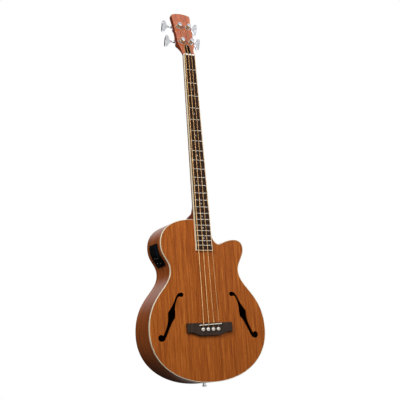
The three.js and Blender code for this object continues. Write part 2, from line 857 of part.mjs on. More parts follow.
function saddlePlank(points, grow) {
  const bar = sidePlate(points, -saddleLength / 2 - grow, saddleLength / 2 + grow);
  return bar.rotateY(-saddleSlant);
}
const slotHalf = saddleThickness / 2 + seam;
const slotFloor = bridgeFace + saddleSlot;
const saddleCutter = saddlePlank(
  [
    [slotFloor, -slotHalf],
    [slotFloor, slotHalf],
    [-bridgeHeight - overrun, slotHalf],
    [-bridgeHeight - overrun, -slotHalf],
  ],
  seam,
);
const bridgeSolid = cut(join(bridgeBlank, bridgeCrown), saddleCutter, ...pinHoles);
add(bodyGroup, "bridge", bridgeSolid, materials.darkWood);
const pickupFront = slotFloor - seam - pickupThickness;
const halfPickup = pickupWidth / 2;
const pickup = saddlePlank(
  [
    [slotFloor - seam, -halfPickup],
    [slotFloor - seam, halfPickup],
    [pickupFront, halfPickup],
    [pickupFront, -halfPickup],
  ],
  0,
);
add(bodyGroup, "saddle_pickup", pickup, materials.brass);
const saddleTop = bridgeFace - saddleProud;
const saddleFoot = pickupFront - seam;
const halfSaddle = saddleThickness / 2;
const saddleShoulder = saddleTop + saddleThickness * saddleCrownShare;
const saddle = saddlePlank(
  [
    [saddleFoot, -halfSaddle],
    [saddleFoot, halfSaddle],
    [saddleShoulder, halfSaddle],
    [saddleTop, halfSaddle * saddleCrownShare],
    [saddleTop, -halfSaddle * saddleCrownShare],
    [saddleShoulder, -halfSaddle],
  ],
  0,
);
add(bodyGroup, "saddle", saddle, materials.cream);

// Bridge pins with a round head and a dark dot's recess
for (const { bridgeX, order } of strings) {
  const collar = pinHeadHeight * (1 - pinCrownShares[0]);
  const profile = [
    [0, -pinLength],
    [pinTipRadius, -pinLength],
    [pinShankRadius, 0],
    [pinHeadRadius, 0],
    [pinHeadRadius, collar],
    [pinHeadRadius * pinCrownShares[1], pinHeadHeight * pinCrownShares[0]],
    [pinHeadRadius * pinCrownShares[0], pinHeadHeight * pinCrownShares[1]],
    [pinDotRadius, pinHeadHeight],
    [pinDotRadius, pinHeadHeight - pinDotDepth],
    [0, pinHeadHeight - pinDotDepth],
  ];
  const seat = new THREE.Vector3(bridgeX, bridgeFace - seam, -pinDrop);
  const pin = turned(profile, seat, new THREE.Vector3(0, -1, 0), smallRoundSteps);
  add(bodyGroup, `bridge_pin_${order + 1}`, pin, materials.cream);
}

// Neck coordinates: zero depth is the fretboard's glued face, and Z still counts from the saddle
const neckPivot = new THREE.Group();
neckPivot.position.set(0, -boardSeat, boardEndRise);
neckPivot.rotation.x = -lean;
bodyGroup.add(neckPivot);
const neckGroup = new THREE.Group();
neckGroup.position.set(0, 0, -boardEndRise);
neckPivot.add(neckGroup);
const headGroup = new THREE.Group();
headGroup.position.set(0, 0, headRise);
headGroup.rotation.x = -headLean;
neckGroup.add(headGroup);
guitar.updateMatrixWorld(true);
const neckToBody = neckGroup.matrixWorld.clone();
const bodyToNeck = neckToBody.clone().invert();
const headToBody = headGroup.matrixWorld.clone();
const headToNeck = headGroup.matrix.clone();

// The fretboard's edge, from its end over the body to the nut
function boardHalfWidth(rise) {
  const share = (rise - boardEndRise) / (scaleLength - boardEndRise);
  return (boardEndWidth + (nutWidth - boardEndWidth) * share) / 2;
}

function boardOutline(narrow, low, high) {
  const [wideLow, wideHigh] = [boardHalfWidth(low) - narrow, boardHalfWidth(high) - narrow];
  return [[-wideLow, low], [wideLow, low], [wideHigh, high], [-wideHigh, high]];
}

// What the fretboard's overhang must clear above the soundboard
const topClearance = box(
  [-lowerBoutWidth, -seam, boardEndRise - overrun],
  [lowerBoutWidth, depthAtTail, bodyRise + seam],
).applyMatrix4(bodyToNeck);
const boardTopEnd = scaleLength - seam;
const boardCore = boardOutline(boardBinding + seam, boardEndRise + boardBinding + seam, boardTopEnd);
const board = plate(boardCore, -boardThickness, -seam);

function fretRidge(number) {
  const rise = fretRise(number);
  const half = boardHalfWidth(rise) - boardBinding - 2 * seam;
  const crest = fretProfileShares.map(([u, v]) => [-boardThickness - v * fretHeight, rise + u * fretWidth]);
  const root = -boardThickness + fretRoot;
  return sidePlate([[root, rise - fretWidth / 2], ...crest, [root, rise + fretWidth / 2]], -half, half);
}
const ridges = Array.from({ length: fretCount }, (unused, place) => fretRidge(place + 1));
add(neckGroup, "fretboard", cut(join(board, ...ridges), topClearance), materials.darkWood);
const bindingOuter = plate(boardOutline(0, boardEndRise, boardTopEnd), -boardThickness, -seam);
const bindingInner = plate(
  boardOutline(boardBinding, boardEndRise + boardBinding, boardTopEnd + overrun),
  -boardThickness - overrun,
  overrun,
);
add(neckGroup, "fretboard_binding", cut(bindingOuter, bindingInner, topClearance), materials.cream);

// Nut, grooved for the strings
const stringRest = (radius) => -boardThickness - stringAction - radius;
const nutFront = -boardThickness - nutProud;
const nutBlank = box([-nutWidth / 2, nutFront, scaleLength], [nutWidth / 2, -seam, headRise - seam]);
const nutGrooves = strings.map(({ nutX, radius }) =>
  box(
    [nutX - radius - seam, nutFront - overrun, scaleLength - overrun],
    [nutX + radius + seam, stringRest(radius) + radius + seam, headRise + overrun],
  ),
);
add(neckGroup, "nut", cut(nutBlank, ...nutGrooves), materials.cream);

// Neck: a half-round shaft, a heel against the body and the head's core
function shaftRing(rise, depth) {
  const half = boardHalfWidth(Math.min(rise, scaleLength));
  return Array.from({ length: shaftRingSteps + 1 }, (unused, step) => {
    const angle = (Math.PI * step) / shaftRingSteps;
    const round = Math.sin(angle) ** shaftRoundShare;
    return new THREE.Vector3(half * Math.cos(angle), depth * (step === shaftRingSteps ? 0 : round), rise);
  });
}

function heelRing({ depth, width, length }) {
  const half = boardHalfWidth(bodyRise) * width;
  return Array.from({ length: heelRingSteps + 1 }, (unused, step) => {
    const angle = (Math.PI * step) / heelRingSteps;
    const inner = step % heelRingSteps !== 0;
    const reach = inner ? heelDepth * length * Math.sin(angle) ** heelRoundShare : -overrun;
    const across = half * Math.sign(Math.cos(angle)) * Math.abs(Math.cos(angle)) ** heelRoundShare;
    return new THREE.Vector3(across, heelDepth * depth, bodyRise + reach);
  });
}
const shaft = loft([
  shaftRing(bodyRise - overrun, shaftDepthAtHeel),
  shaftRing(bodyRise + heelDepth, shaftDepthAtHeel),
  shaftRing(headRise, shaftDepthAtNut),
]);
const heel = loft(heelSliceShares.map(heelRing));
const headSide = headOutlineShares.map(({ across, along }) => [across * headHalfWidth, along * headLength]);
const mirrored = (side) => [...side, [0, headLength], ...side.map(([x, z]) => [-x, z]).reverse()];
const headOutline = mirrored(headSide);
const coreSide = headSide.slice(1);
const headCore = plate(mirrored(coreSide), veneerThickness, headThickness).applyMatrix4(headToNeck);

// The shaft's round back widens into the head above the nut
const [throatHalf, throatRise] = coreSide[0];
const throatEnd = Array.from({ length: shaftRingSteps + 1 }, (unused, step) => {
  const angle = (Math.PI * step) / shaftRingSteps;
  const across = throatHalf * Math.sign(Math.cos(angle)) * Math.abs(Math.cos(angle)) ** heelRoundShare;
  const deep = step % shaftRingSteps === 0 ? 0 : headThickness * Math.sin(angle) ** heelRoundShare;
  return new THREE.Vector3(across, deep, throatRise + nutThickness).applyMatrix4(headToNeck);
});
const throat = loft([
  shaftRing(headRise - nutThickness, shaftDepthAtNut),
  shaftRing(headRise, shaftDepthAtNut),
  throatEnd,
]);
const headFront = box(
  [-lowerBoutWidth, -headLength, 0],
  [lowerBoutWidth, veneerThickness, 2 * headLength],
).applyMatrix4(headToNeck);
const trussStart = bodyRise + trussFromBody;
const trussChannel = box(
  [-trussWidth / 2 - seam, -overrun, trussStart - seam],
  [trussWidth / 2 + seam, trussCover + trussDepth + seam, headRise + trussReach + seam],
);
const posts = [
  { x: -postAcross, rise: lowPostRise, side: -1 },
  { x: -postAcross, rise: highPostRise, side: -1 },
  { x: postAcross, rise: highPostRise, side: 1 },
  { x: postAcross, rise: lowPostRise, side: 1 },
];
const postHoles = posts.map(({ x, rise }) =>
  rod(
    sleeveRadius + seam,
    new THREE.Vector3(x, -overrun, rise),
    new THREE.Vector3(x, headThickness + overrun, rise),
  ),
);
const bodySpace = box(
  [-lowerBoutWidth, -depthAtTail, -tailDrop],
  [lowerBoutWidth, 2 * depthAtTail, bodyRise + seam],
).applyMatrix4(bodyToNeck);
const neck = cut(
  join(shaft, heel, headCore, throat),
  headFront,
  trussChannel,
  bodySpace,
  ...postHoles.map((hole) => hole.clone().applyMatrix4(headToNeck)),
);
add(neckGroup, "neck", neck, materials.neckWood);

const capSlice = heelSliceShares.at(-1);
const capFront = heelDepth + seam;
const capRings = [capFront, capFront + heelCapThickness].map((depth) =>
  heelRing(capSlice).map((point) => new THREE.Vector3(point.x, depth, point.z)),
);
add(neckGroup, "heel_cap", cut(loft(capRings), bodySpace), materials.black);

const trussRod = box(
  [-trussWidth / 2, trussCover, trussStart],
  [trussWidth / 2, trussCover + trussDepth, headRise + trussReach],
);
add(neckGroup, "truss_rod", trussRod, materials.steel);

// Head veneer, open over the end of the truss rod, and the cover over that opening
const veneerBlank = plate(headOutline, 0, veneerThickness - seam);
const rodToHead = trussChannel.clone().applyMatrix4(headToNeck.clone().invert());
const veneerFoot = box([-nutWidth, -overrun, -overrun], [nutWidth, headThickness, seam]);
const veneer = cut(veneerBlank, veneerFoot, rodToHead, ...postHoles);
add(headGroup, "head_veneer", veneer, materials.neckWood);
const coverEnd = coverStart + coverLength;
const coverOutline = [
  [-coverBaseWidth / 2, coverStart],
  [coverBaseWidth / 2, coverStart],
  [coverTipWidth / 2, coverEnd - coverTipWidth / 2],
  [coverTipWidth / 4, coverEnd],
  [-coverTipWidth / 4, coverEnd],
  [-coverTipWidth / 2, coverEnd - coverTipWidth / 2],
];
const coverFlat = plate(coverOutline, -seam - coverThickness, -seam);
add(headGroup, "truss_rod_cover", cut(coverFlat, rodToHead), materials.black);

// Machine heads: plate with sleeve and ears, post with gear, and key with worm
const backFace = headThickness + seam;
const gearMiddle = backFace + plateThickness + seam + wormTipRadius;
const gearFront = gearMiddle - gearThickness / 2;
const earHeight = gearMiddle + collarRadius;

function machinePlate() {
  const washer = [
    [postRadius + postClearance, seam],
    [washerRadius, seam],
    [washerRadius, washerThickness - seam],
    [washerRadius - seam, washerThickness],
    [postRadius + postClearance, washerThickness],
    [postRadius + postClearance, seam],
  ];
  const sleeveStart = -backFace - plateThickness;
  const sleeve = [
    [postRadius + postClearance, sleeveStart],
    [sleeveRadius, sleeveStart],
    [sleeveRadius, seam * 2],
    [postRadius + postClearance, seam * 2],
    [postRadius + postClearance, sleeveStart],
  ];
  const low = -plateLength / 2 + wormOffset / 2;
  const half = plateWidth / 2;
  const base = box([-half, backFace, low], [half, backFace + plateThickness, low + plateLength]);
  const boreThrough = rod(
    postRadius + postClearance,
    new THREE.Vector3(0, -overrun, 0),
    new THREE.Vector3(0, headThickness + overrun, 0),
  );
  const ears = [-1, 1].map((side) => {
    const start = (side * earSpread) / 2;
    const edges = [start, start + side * earThickness].sort((a, b) => a - b);
    const ear = box(
      [edges[0], backFace, wormOffset - earWidth / 2],
      [edges[1], earHeight, wormOffset + earWidth / 2],
    );
    return ear;
  });
  const shaftHole = rod(
    shaftRadius + shaftClearance,
    new THREE.Vector3(-plateWidth, gearMiddle, wormOffset),
    new THREE.Vector3(plateWidth, gearMiddle, wormOffset),
    smallRoundSteps,
  );
  const origin = new THREE.Vector3();
  const rings = join(turned(washer, origin, frontward), turned(sleeve, origin, frontward));
  return cut(join(rings, cut(base, boreThrough), ...ears), shaftHole);
}

function gearOutline() {
  const pitchAngle = (2 * Math.PI) / gearTeeth;
  const corners = [
    [gearRootRadius, -gearToothShares.root / 2],
    [gearTipRadius, -gearToothShares.tip / 2],
    [gearTipRadius, gearToothShares.tip / 2],
    [gearRootRadius, gearToothShares.root / 2],
  ];
  return Array.from({ length: gearTeeth }, (unused, tooth) =>
    corners.map(([radius, share]) => {
      const angle = Math.PI / 2 + (tooth + 0.5 + share) * pitchAngle;
      return [radius * Math.cos(angle), radius * Math.sin(angle)];
    }),
  ).flat();
}
const coilPitch = 2 * stringRadii[0] + coilGap;
const coilStart = washerThickness + seam + stringRadii[0] + seam;
const postTop = coilStart + coilTurns * coilPitch + stringRadii[0] + seam;

function tuningPost() {
  const gearBack = gearFront + gearThickness;
  const profile = [
    [0, -gearBack - gearScrewHeight],
    [gearScrewRadius, -gearBack - gearScrewHeight],
    [gearScrewRadius, -gearBack + seam],
    [postRadius, -gearBack + seam],
    [postRadius, postTop],
    [postCapRadius, postTop + seam],
    [postCapRadius, postTop + postCapThickness - seam],
    [postCapRadius - seam, postTop + postCapThickness],
    [0, postTop + postCapThickness],
  ];
  const post = turned(profile, new THREE.Vector3(), frontward);
  const slot = box(
    [-postCapRadius - seam, -postTop - postCapThickness - overrun, -stringRadii[0]],
    [postCapRadius + seam, -postTop - seam, stringRadii[0]],
  );
  return join(cut(post, slot), plate(gearOutline(), gearFront, gearBack));
}

// The worm's thread, a ridge wound round the shaft: it passes the gear's nearest gap at its middle
function wormThread() {
  const count = wormTurns * wormSteps;
  const rings = Array.from({ length: count + 1 }, (unused, step) => {
    const turns = step / wormSteps - wormTurns / 2;
    const angle = -Math.PI / 2 + 2 * Math.PI * turns;
    const outward = new THREE.Vector3(0, Math.cos(angle), Math.sin(angle));
    const corners = [
      [wormCoreRadius / 2, -wormThreadShares.root / 2],
      [wormTipRadius, -wormThreadShares.tip / 2],
      [wormTipRadius, wormThreadShares.tip / 2],
      [wormCoreRadius / 2, wormThreadShares.root / 2],
    ];
    return corners.map(([radius, share]) =>
      new THREE.Vector3((turns + share) * wormPitch, 0, 0).addScaledVector(outward, radius),
    );
  });
  return loft(rings);
}

function keyButton() {
  const half = buttonWidth / 2;
  const right = buttonOutlineShares.map(({ across, along }) => [across * half, along * buttonLength]);
  const outline = [...right, ...right.map(([x, z]) => [-x, z]).reverse()];
  const level = (scale, y) => outline.map(([x, z]) => {
    const middle = buttonLength / 2;
    return new THREE.Vector3(z * scale + middle * (1 - scale), y, x * scale);
  });
  const halfThick = buttonThickness / 2;
  return loft([
    level(buttonRimShare, -halfThick),
    level(1, -halfThick / 2),
    level(1, halfThick / 2),
    level(buttonRimShare, halfThick),
  ]);
}

function tuningKey(side) {
  const inner = -side * (earSpread / 2 + earThickness);
  const outer = side * (buttonStart - postAcross + buttonLength / 4);
  const spindleEnds = [new THREE.Vector3(inner, 0, 0), new THREE.Vector3(outer, 0, 0)];
  const spindle = rod(shaftRadius, ...spindleEnds, smallRoundSteps);
  const collarStart = side * (earSpread / 2 + earThickness + seam);
  const collar = rod(
    collarRadius,
    new THREE.Vector3(collarStart, 0, 0),
    new THREE.Vector3(collarStart + side * collarLength, 0, 0),
    smallRoundSteps,
  );
  const button = keyButton();
  if (side < 0) button.rotateY(Math.PI);
  button.translate(side * (buttonStart - postAcross), 0, 0);
  button.rotateX(THREE.MathUtils.degToRad(buttonTiltDegrees));
  const key = join(spindle, collar, wormThread(), button);
  return key.translate(0, gearMiddle, wormOffset);
}

posts.forEach(({ x, rise, side }, place) => {
  const order = place + 1;
  add(headGroup, `machine_plate_${order}`, machinePlate().translate(x, 0, rise), materials.chrome);
  add(headGroup, `tuning_post_${order}`, tuningPost().translate(x, 0, rise), materials.chrome);
  add(headGroup, `tuning_key_${order}`, tuningKey(side).translate(x, 0, rise), materials.chrome);
});

// Strings: from the ball under the bridge plate, over saddle and nut, to the coil round the post
function stringPath({ nutX, bridgeX, radius }, post) {
  const plateBack = barFront + bridgePlateThickness;
  const ballTop = plateBack + 3 * seam;
  const holeZ = -pinDrop + stringInHole;
  const ballShift = ballRadius - radius;
  const abovePin = -pinDrop + pinHeadRadius;
  const saddleZ = bridgeX * Math.tan(saddleSlant);
  const start = [
    new THREE.Vector3(bridgeX, ballTop + ballLength, holeZ + ballShift),
    new THREE.Vector3(bridgeX, ballTop, holeZ + ballShift),
    new THREE.Vector3(bridgeX, ballTop - seam, holeZ),
    new THREE.Vector3(bridgeX, -bridgeHeight / 3, holeZ),
    new THREE.Vector3(bridgeX, bridgeFace + bridgeHeight / 4, holeZ + radius),
    new THREE.Vector3(bridgeX, bridgeFace - radius - seam, abovePin + 2 * radius + 2 * seam),
    new THREE.Vector3(bridgeX, saddleTop - radius - seam, saddleZ - halfSaddle),
    new THREE.Vector3(bridgeX, saddleTop - radius - seam, saddleZ + halfSaddle),
  ];
  const startRadii = [ballRadius, ballRadius, radius, radius, radius, radius, radius, radius];
  const rest = stringRest(radius);
  const overNut = [
    new THREE.Vector3(nutX, rest, scaleLength - radius).applyMatrix4(neckToBody),
    new THREE.Vector3(nutX, rest, headRise).applyMatrix4(neckToBody),
  ];
  const bodyToHead = headToBody.clone().invert();
  const leaves = overNut[1].clone().applyMatrix4(bodyToHead);
  const coilRadius = postRadius + seam + radius;
  const [dx, dz] = [leaves.x - post.x, leaves.z - post.rise];
  const turn = -post.side;
  const meets = Math.atan2(dz, dx) + turn * Math.acos(coilRadius / Math.hypot(dx, dz));
  const low = washerThickness + 2 * seam + radius;
  const pitch = 2 * radius + coilGap;
  const coil = Array.from({ length: Math.round(coilTurns * coilSteps) + 1 }, (unused, step) => {
    const turns = step / coilSteps;
    const angle = meets + turn * 2 * Math.PI * turns;
    return new THREE.Vector3(
      post.x + coilRadius * Math.cos(angle),
      -low - pitch * turns,
      post.rise + coilRadius * Math.sin(angle),
    ).applyMatrix4(headToBody);
  });
  const points = [...start, ...overNut, ...coil];
  const radii = [...startRadii, ...overNut.map(() => radius), ...coil.map(() => radius)];
  return { points, radii, loose: start.length + overNut.length };
}

// The least room between a string's coil and the rest of the same string
function leastGap({ points, loose }, radius, run) {
  let least = Infinity;
  const samples = [];
  for (let place = loose - 1; place + 1 < points.length; place += 1) {
    const pieces = place === loose - 1 ? run : 1;
    for (let part = 0; part < pieces; part += 1) {
      samples.push({ point: points[place].clone().lerp(points[place + 1], part / pieces) });
    }
  }
  let along = 0;
  samples.forEach((sample, place) => {
    if (place > 0) along += sample.point.distanceTo(samples[place - 1].point);
    sample.along = along;
  });
  const apart = 2 * Math.PI * postRadius * 0.5;
  for (const one of samples) {
    for (const other of samples) {
      if (other.along - one.along < apart) continue;
      least = Math.min(least, one.point.distanceTo(other.point) - 2 * radius);
    }
  }
  return least;
}
const runSamples = 80;
strings.forEach((string, place) => {
  const path = stringPath(string, posts[place]);
  const gap = leastGap(path, string.radius, runSamples);
  console.log(`string ${place + 1}: least gap of its coil to itself ${gap.toFixed(2)} mm`);
  add(bodyGroup, `string_${place + 1}`, tube(path.points, path.radii, stringSides), materials.bronze);
});

// Jack and strap button in the tail
const jackOut = -tailDrop - seam;
const jackProfile = [
  [0, -jackBarrelLength],
  [jackBarrelRadius, -jackBarrelLength],
  [jackBarrelRadius, 0],
  [jackStemRadius, seam],
  [jackStemRadius, jackStemLength],
  [jackFlangeRadius, jackStemLength + seam],
  [jackFlangeRadius, jackStemLength + jackFlangeThickness],
  [jackStemRadius, jackStemLength + jackFlangeThickness + seam],
  [jackStemRadius, jackStemLength + jackFlangeThickness + jackTipLength],
  [jackBoreRadius, jackStemLength + jackFlangeThickness + jackTipLength],
  [jackBoreRadius, -jackBarrelLength + jackEndWall],
  [0, -jackBarrelLength + jackEndWall],
];
const jack = turned(jackProfile, new THREE.Vector3(0, jackDepth, jackOut), new THREE.Vector3(0, 0, -1));
add(bodyGroup, "end_jack", jack, materials.chrome);

// Preamp: a curved panel through the side, with its housing and battery behind it
const panelInner = -sideThickness - panelPlug;
const panelLow = preampDepth - panelWidth / 2;
const panelHigh = preampDepth + panelWidth / 2;
const flange = common(
  flankStrip(-halfPanel - seam, halfPanel + seam, panelProud, seam, panelLow, panelHigh),
  roundedPrism(panelLength, panelWidth, panelCorner),
);
const plugRim = panelRim + seam;
const plug = flankStrip(
  -halfPanel + plugRim,
  halfPanel - plugRim,
  2 * seam,
  panelInner,
  panelLow + plugRim,
  panelHigh - plugRim,
);
const doorOpening = flankBlock(
  batteryRise,
  batteryFromFront,
  batteryWidth + 2 * seam,
  batteryThickness + 2 * seam,
  -overrun,
  overrun,
);
const displayRecess = flankStrip(
  displayRise - displayLength / 2 - seam,
  displayRise + displayLength / 2 + seam,
  overrun,
  panelProud - displayThickness - seam,
  displayFromFront - displayWidth / 2 - seam,
  displayFromFront + displayWidth / 2 + seam,
);
const knobPlaces = knobRises.flatMap((rise) => knobsFromFront.map((fromFront) => ({ rise, fromFront })));

function panelAxis(rise, fromFront, near, far) {
  const { point, out } = flankAt(preampRise + rise);
  const foot = point.clone().setY(fromFront);
  return [foot.clone().addScaledVector(out, near), foot.clone().addScaledVector(out, far)];
}
const shaftHoles = knobPlaces.map(({ rise, fromFront }) =>
  rod(knobShaftRadius + seam, ...panelAxis(rise, fromFront, -overrun, overrun), smallRoundSteps),
);
const switchPocket = rod(
  switchRadius + seam,
  ...panelAxis(switchRise, switchFromFront, panelProud - switchPocketDepth, overrun),
  smallRoundSteps,
);
const panel = cut(join(flange, plug), doorOpening, displayRecess, switchPocket, ...shaftHoles);
add(bodyGroup, "preamp_panel", panel, materials.black);

const display = flankStrip(
  displayRise - displayLength / 2,
  displayRise + displayLength / 2,
  panelProud,
  panelProud - displayThickness,
  displayFromFront - displayWidth / 2,
  displayFromFront + displayWidth / 2,
);
add(bodyGroup, "display_window", display, materials.glass);

const housingShell = flankStrip(
  -halfPanel + plugRim,
  halfPanel - plugRim,
  panelInner - seam,
  -housingDepth,
  panelLow + plugRim,
  panelHigh - plugRim,
);
const batteryBack = -batteryLength;
const wellWall = panelPlug;
const batteryWell = flankBlock(
  batteryRise,
  batteryFromFront,
  batteryWidth + 2 * wellWall,
  batteryThickness + 2 * wellWall,
  batteryBack - wellWall,
  -housingDepth + wellWall,
);
const batteryRoom = flankBlock(
  batteryRise,
  batteryFromFront,
  batteryWidth + 2 * seam,
  batteryThickness + 2 * seam,
  batteryBack - seam,
  overrun,
);
add(bodyGroup, "preamp_housing", cut(join(housingShell, batteryWell), batteryRoom), materials.black);
const battery = flankBlock(batteryRise, batteryFromFront, batteryWidth, batteryThickness, batteryBack, 0);
add(bodyGroup, "battery", battery, materials.steel);

// Battery door: lies on the panel and swings out about its lower edge
const doorBase = panelProud + seam;
const door = flankStrip(
  batteryRise - batteryWidth / 2 - doorOverlap,
  batteryRise + batteryWidth / 2 + doorOverlap,
  doorBase + doorThickness,
  doorBase,
  batteryFromFront - batteryThickness / 2 - doorOverlap,
  batteryFromFront + batteryThickness / 2 + doorOverlap,
);
add(bodyGroup, "battery_door", door, materials.black);

// Tone and volume knobs, and the button that wakes the tuner
const knobNames = ["bass_knob", "treble_knob", "volume_knob", "blend_knob"];
knobPlaces.forEach(({ rise, fromFront }, place) => {
  const [foot] = panelAxis(rise, fromFront, 0, 0);
  const { out, up } = flankAt(preampRise + rise);
  const base = panelProud + seam;
  const profile = [
    [0, -sideThickness],
    [knobShaftRadius, -sideThickness],
    [knobShaftRadius, base],
    [knobRadius, base],
    [knobRadius, base + knobHeight - seam],
    [knobRadius - seam, base + knobHeight],
    [0, base + knobHeight],
  ];
  const knob = turned(profile, foot, out, roundSteps);
  const notch = box(
    [base + knobHeight - seam * 2, -knobNotch / 2, 0],
    [base + knobHeight + overrun, knobNotch / 2, knobRadius + seam],
  );
  const frame = new THREE.Matrix4().makeBasis(out, frontward, up).setPosition(foot);
  add(bodyGroup, knobNames[place], cut(knob, notch.applyMatrix4(frame)), materials.black);
});
const [switchFoot, switchTip] = panelAxis(
  switchRise,
  switchFromFront,
  panelProud - switchPocketDepth + switchTravel + seam,
  panelProud + switchHeight,
);
add(bodyGroup, "tuner_button", rod(switchRadius, switchFoot, switchTip, smallRoundSteps), materials.black);

// The model's origin is where a hanger's fork carries the head, in the middle of its thickness
const hanger = new THREE.Vector3(0, headThickness / 2, hangerRise).applyMatrix4(headToBody);
bodyGroup.position.copy(hanger).negate();

export default guitar;
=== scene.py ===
import math

import bmesh
import bpy
from mathutils import Matrix, Vector, geometry


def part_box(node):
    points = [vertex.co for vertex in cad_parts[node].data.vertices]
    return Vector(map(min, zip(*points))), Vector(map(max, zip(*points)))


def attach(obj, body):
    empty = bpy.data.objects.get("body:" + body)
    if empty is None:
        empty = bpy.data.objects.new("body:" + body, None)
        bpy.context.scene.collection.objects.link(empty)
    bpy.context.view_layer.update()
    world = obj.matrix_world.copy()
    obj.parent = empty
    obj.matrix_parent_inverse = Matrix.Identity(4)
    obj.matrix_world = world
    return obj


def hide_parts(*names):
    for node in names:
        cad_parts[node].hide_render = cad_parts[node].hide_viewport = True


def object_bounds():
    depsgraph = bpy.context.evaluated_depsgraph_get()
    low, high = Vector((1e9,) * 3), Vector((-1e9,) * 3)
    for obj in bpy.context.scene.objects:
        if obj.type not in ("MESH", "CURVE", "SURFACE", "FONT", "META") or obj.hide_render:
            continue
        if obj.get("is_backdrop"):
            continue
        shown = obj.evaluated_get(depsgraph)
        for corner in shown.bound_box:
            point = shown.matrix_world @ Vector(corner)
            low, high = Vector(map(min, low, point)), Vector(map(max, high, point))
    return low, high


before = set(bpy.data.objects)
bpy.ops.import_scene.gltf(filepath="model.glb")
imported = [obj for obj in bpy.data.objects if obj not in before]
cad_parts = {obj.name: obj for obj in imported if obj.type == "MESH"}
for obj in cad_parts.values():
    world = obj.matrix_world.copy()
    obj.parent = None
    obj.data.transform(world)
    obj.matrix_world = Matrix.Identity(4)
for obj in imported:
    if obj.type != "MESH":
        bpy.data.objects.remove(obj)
cadLow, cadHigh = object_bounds()

# Body coordinates are millimetres: X across, Y from the soundboard's face to the back, Z up from the saddle
seam = 0.3
# How far a cutter runs past a small piece, and past the neck
overrun, farPast = 40, 300
bodyShape = {
    "tailDrop": 170.5,
    "lowerBout": (197.4, -16.5),
    "waist": (117.0, 166.0),
    "hornSide": (140.0, 234.0),
    "hornTip": (112.0, 262.4),
    "hollow": (55.4, 248.1),
    "neckSide": (30.0, 285.0),
    "neckCorner": (30.0, 325.0),
    "upperBout": (144.2, 247.0),
    "depthAtTail": 108.0,
    "depthAtNeck": 100.0,
    "topThickness": 3.0,
    "backThickness": 3.0,
    "sideThickness": 2.5,
    "bindingThickness": 1.8,
    "bindingDepth": 6.0,
    "bindingEdge": (0.9, 3),
    "backEdge": (1.6, 4),
    "middleRise": 60.0,
}
bodyRise = bodyShape["neckCorner"][1]
tailDrop = bodyShape["tailDrop"]

neckShape = {
    "scale": 863.6,
    "frets": 22,
    "boardEnd": 225.85,
    "boardEndWidth": 56.5,
    "nutWidth": 40.0,
    "nutThickness": 5.0,
    "nutProud": 2.6,
    "boardThickness": 7.5,
    "binding": 1.8,
    "bindingEdge": (0.35, 2),
    "nutEdge": (0.8, 3),
    "seat": 0.5,
    "leanDegrees": 0.63,
    "headLeanDegrees": 13.4,
    "shaftAtNut": 14.5,
    "shaftAtHeel": 17.0,
    "heelDepth": 90.0,
    "headThickness": 17.0,
    "headLength": 163.5,
    "headHalf": 33.6,
    "veneer": 1.5,
    "veneerEdge": (0.5, 3),
}
headRise = neckShape["scale"] + neckShape["nutThickness"]

# Where those coordinates lie in the scene, in metres
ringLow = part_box("top_binding")[0]
bodyPlace = Matrix.Translation((0, ringLow.y, ringLow.z + tailDrop / 1000)) @ Matrix.Scale(0.001, 4)
neckPlace = (
    bodyPlace
    @ Matrix.Translation((0, -neckShape["seat"], neckShape["boardEnd"]))
    @ Matrix.Rotation(math.radians(-neckShape["leanDegrees"]), 4, "X")
    @ Matrix.Translation((0, 0, -neckShape["boardEnd"]))
)
headPlace = (
    neckPlace
    @ Matrix.Translation((0, 0, headRise))
    @ Matrix.Rotation(math.radians(-neckShape["headLeanDegrees"]), 4, "X")
)


def hexColour(code):
    parts = [int(code[place:place + 2], 16) / 255 for place in (1, 3, 5)]
    return (*[part / 12.92 if part <= 0.04045 else ((part + 0.055) / 1.055) ** 2.4 for part in parts], 1.0)


# Adds one node: settings are its own values, inputs are numbers or the sockets that feed it
def addNode(tree, kind, settings, inputs):
    node = tree.nodes.new(kind)
    for key, value in settings.items():
        if key == "stops":
            elements = node.color_ramp.elements
            while len(elements) < len(value):
                elements.new(1.0)
            for element, (place, code) in zip(elements, value):
                element.position = place
                element.color = hexColour(code)
        else:
            setattr(node, key, value)
    for key, value in inputs.items():
        if isinstance(value, bpy.types.NodeSocket):
            tree.links.new(value, node.inputs[key])
        else:
            node.inputs[key].default_value = value
    return node


def newMaterial(name, surface):
    material = bpy.data.materials.new(name)
    material.use_nodes = True
    tree = material.node_tree
    shader = tree.nodes["Principled BSDF"]
    for key, value in surface.items():
        shader.inputs[key].default_value = value
    return material, tree, shader


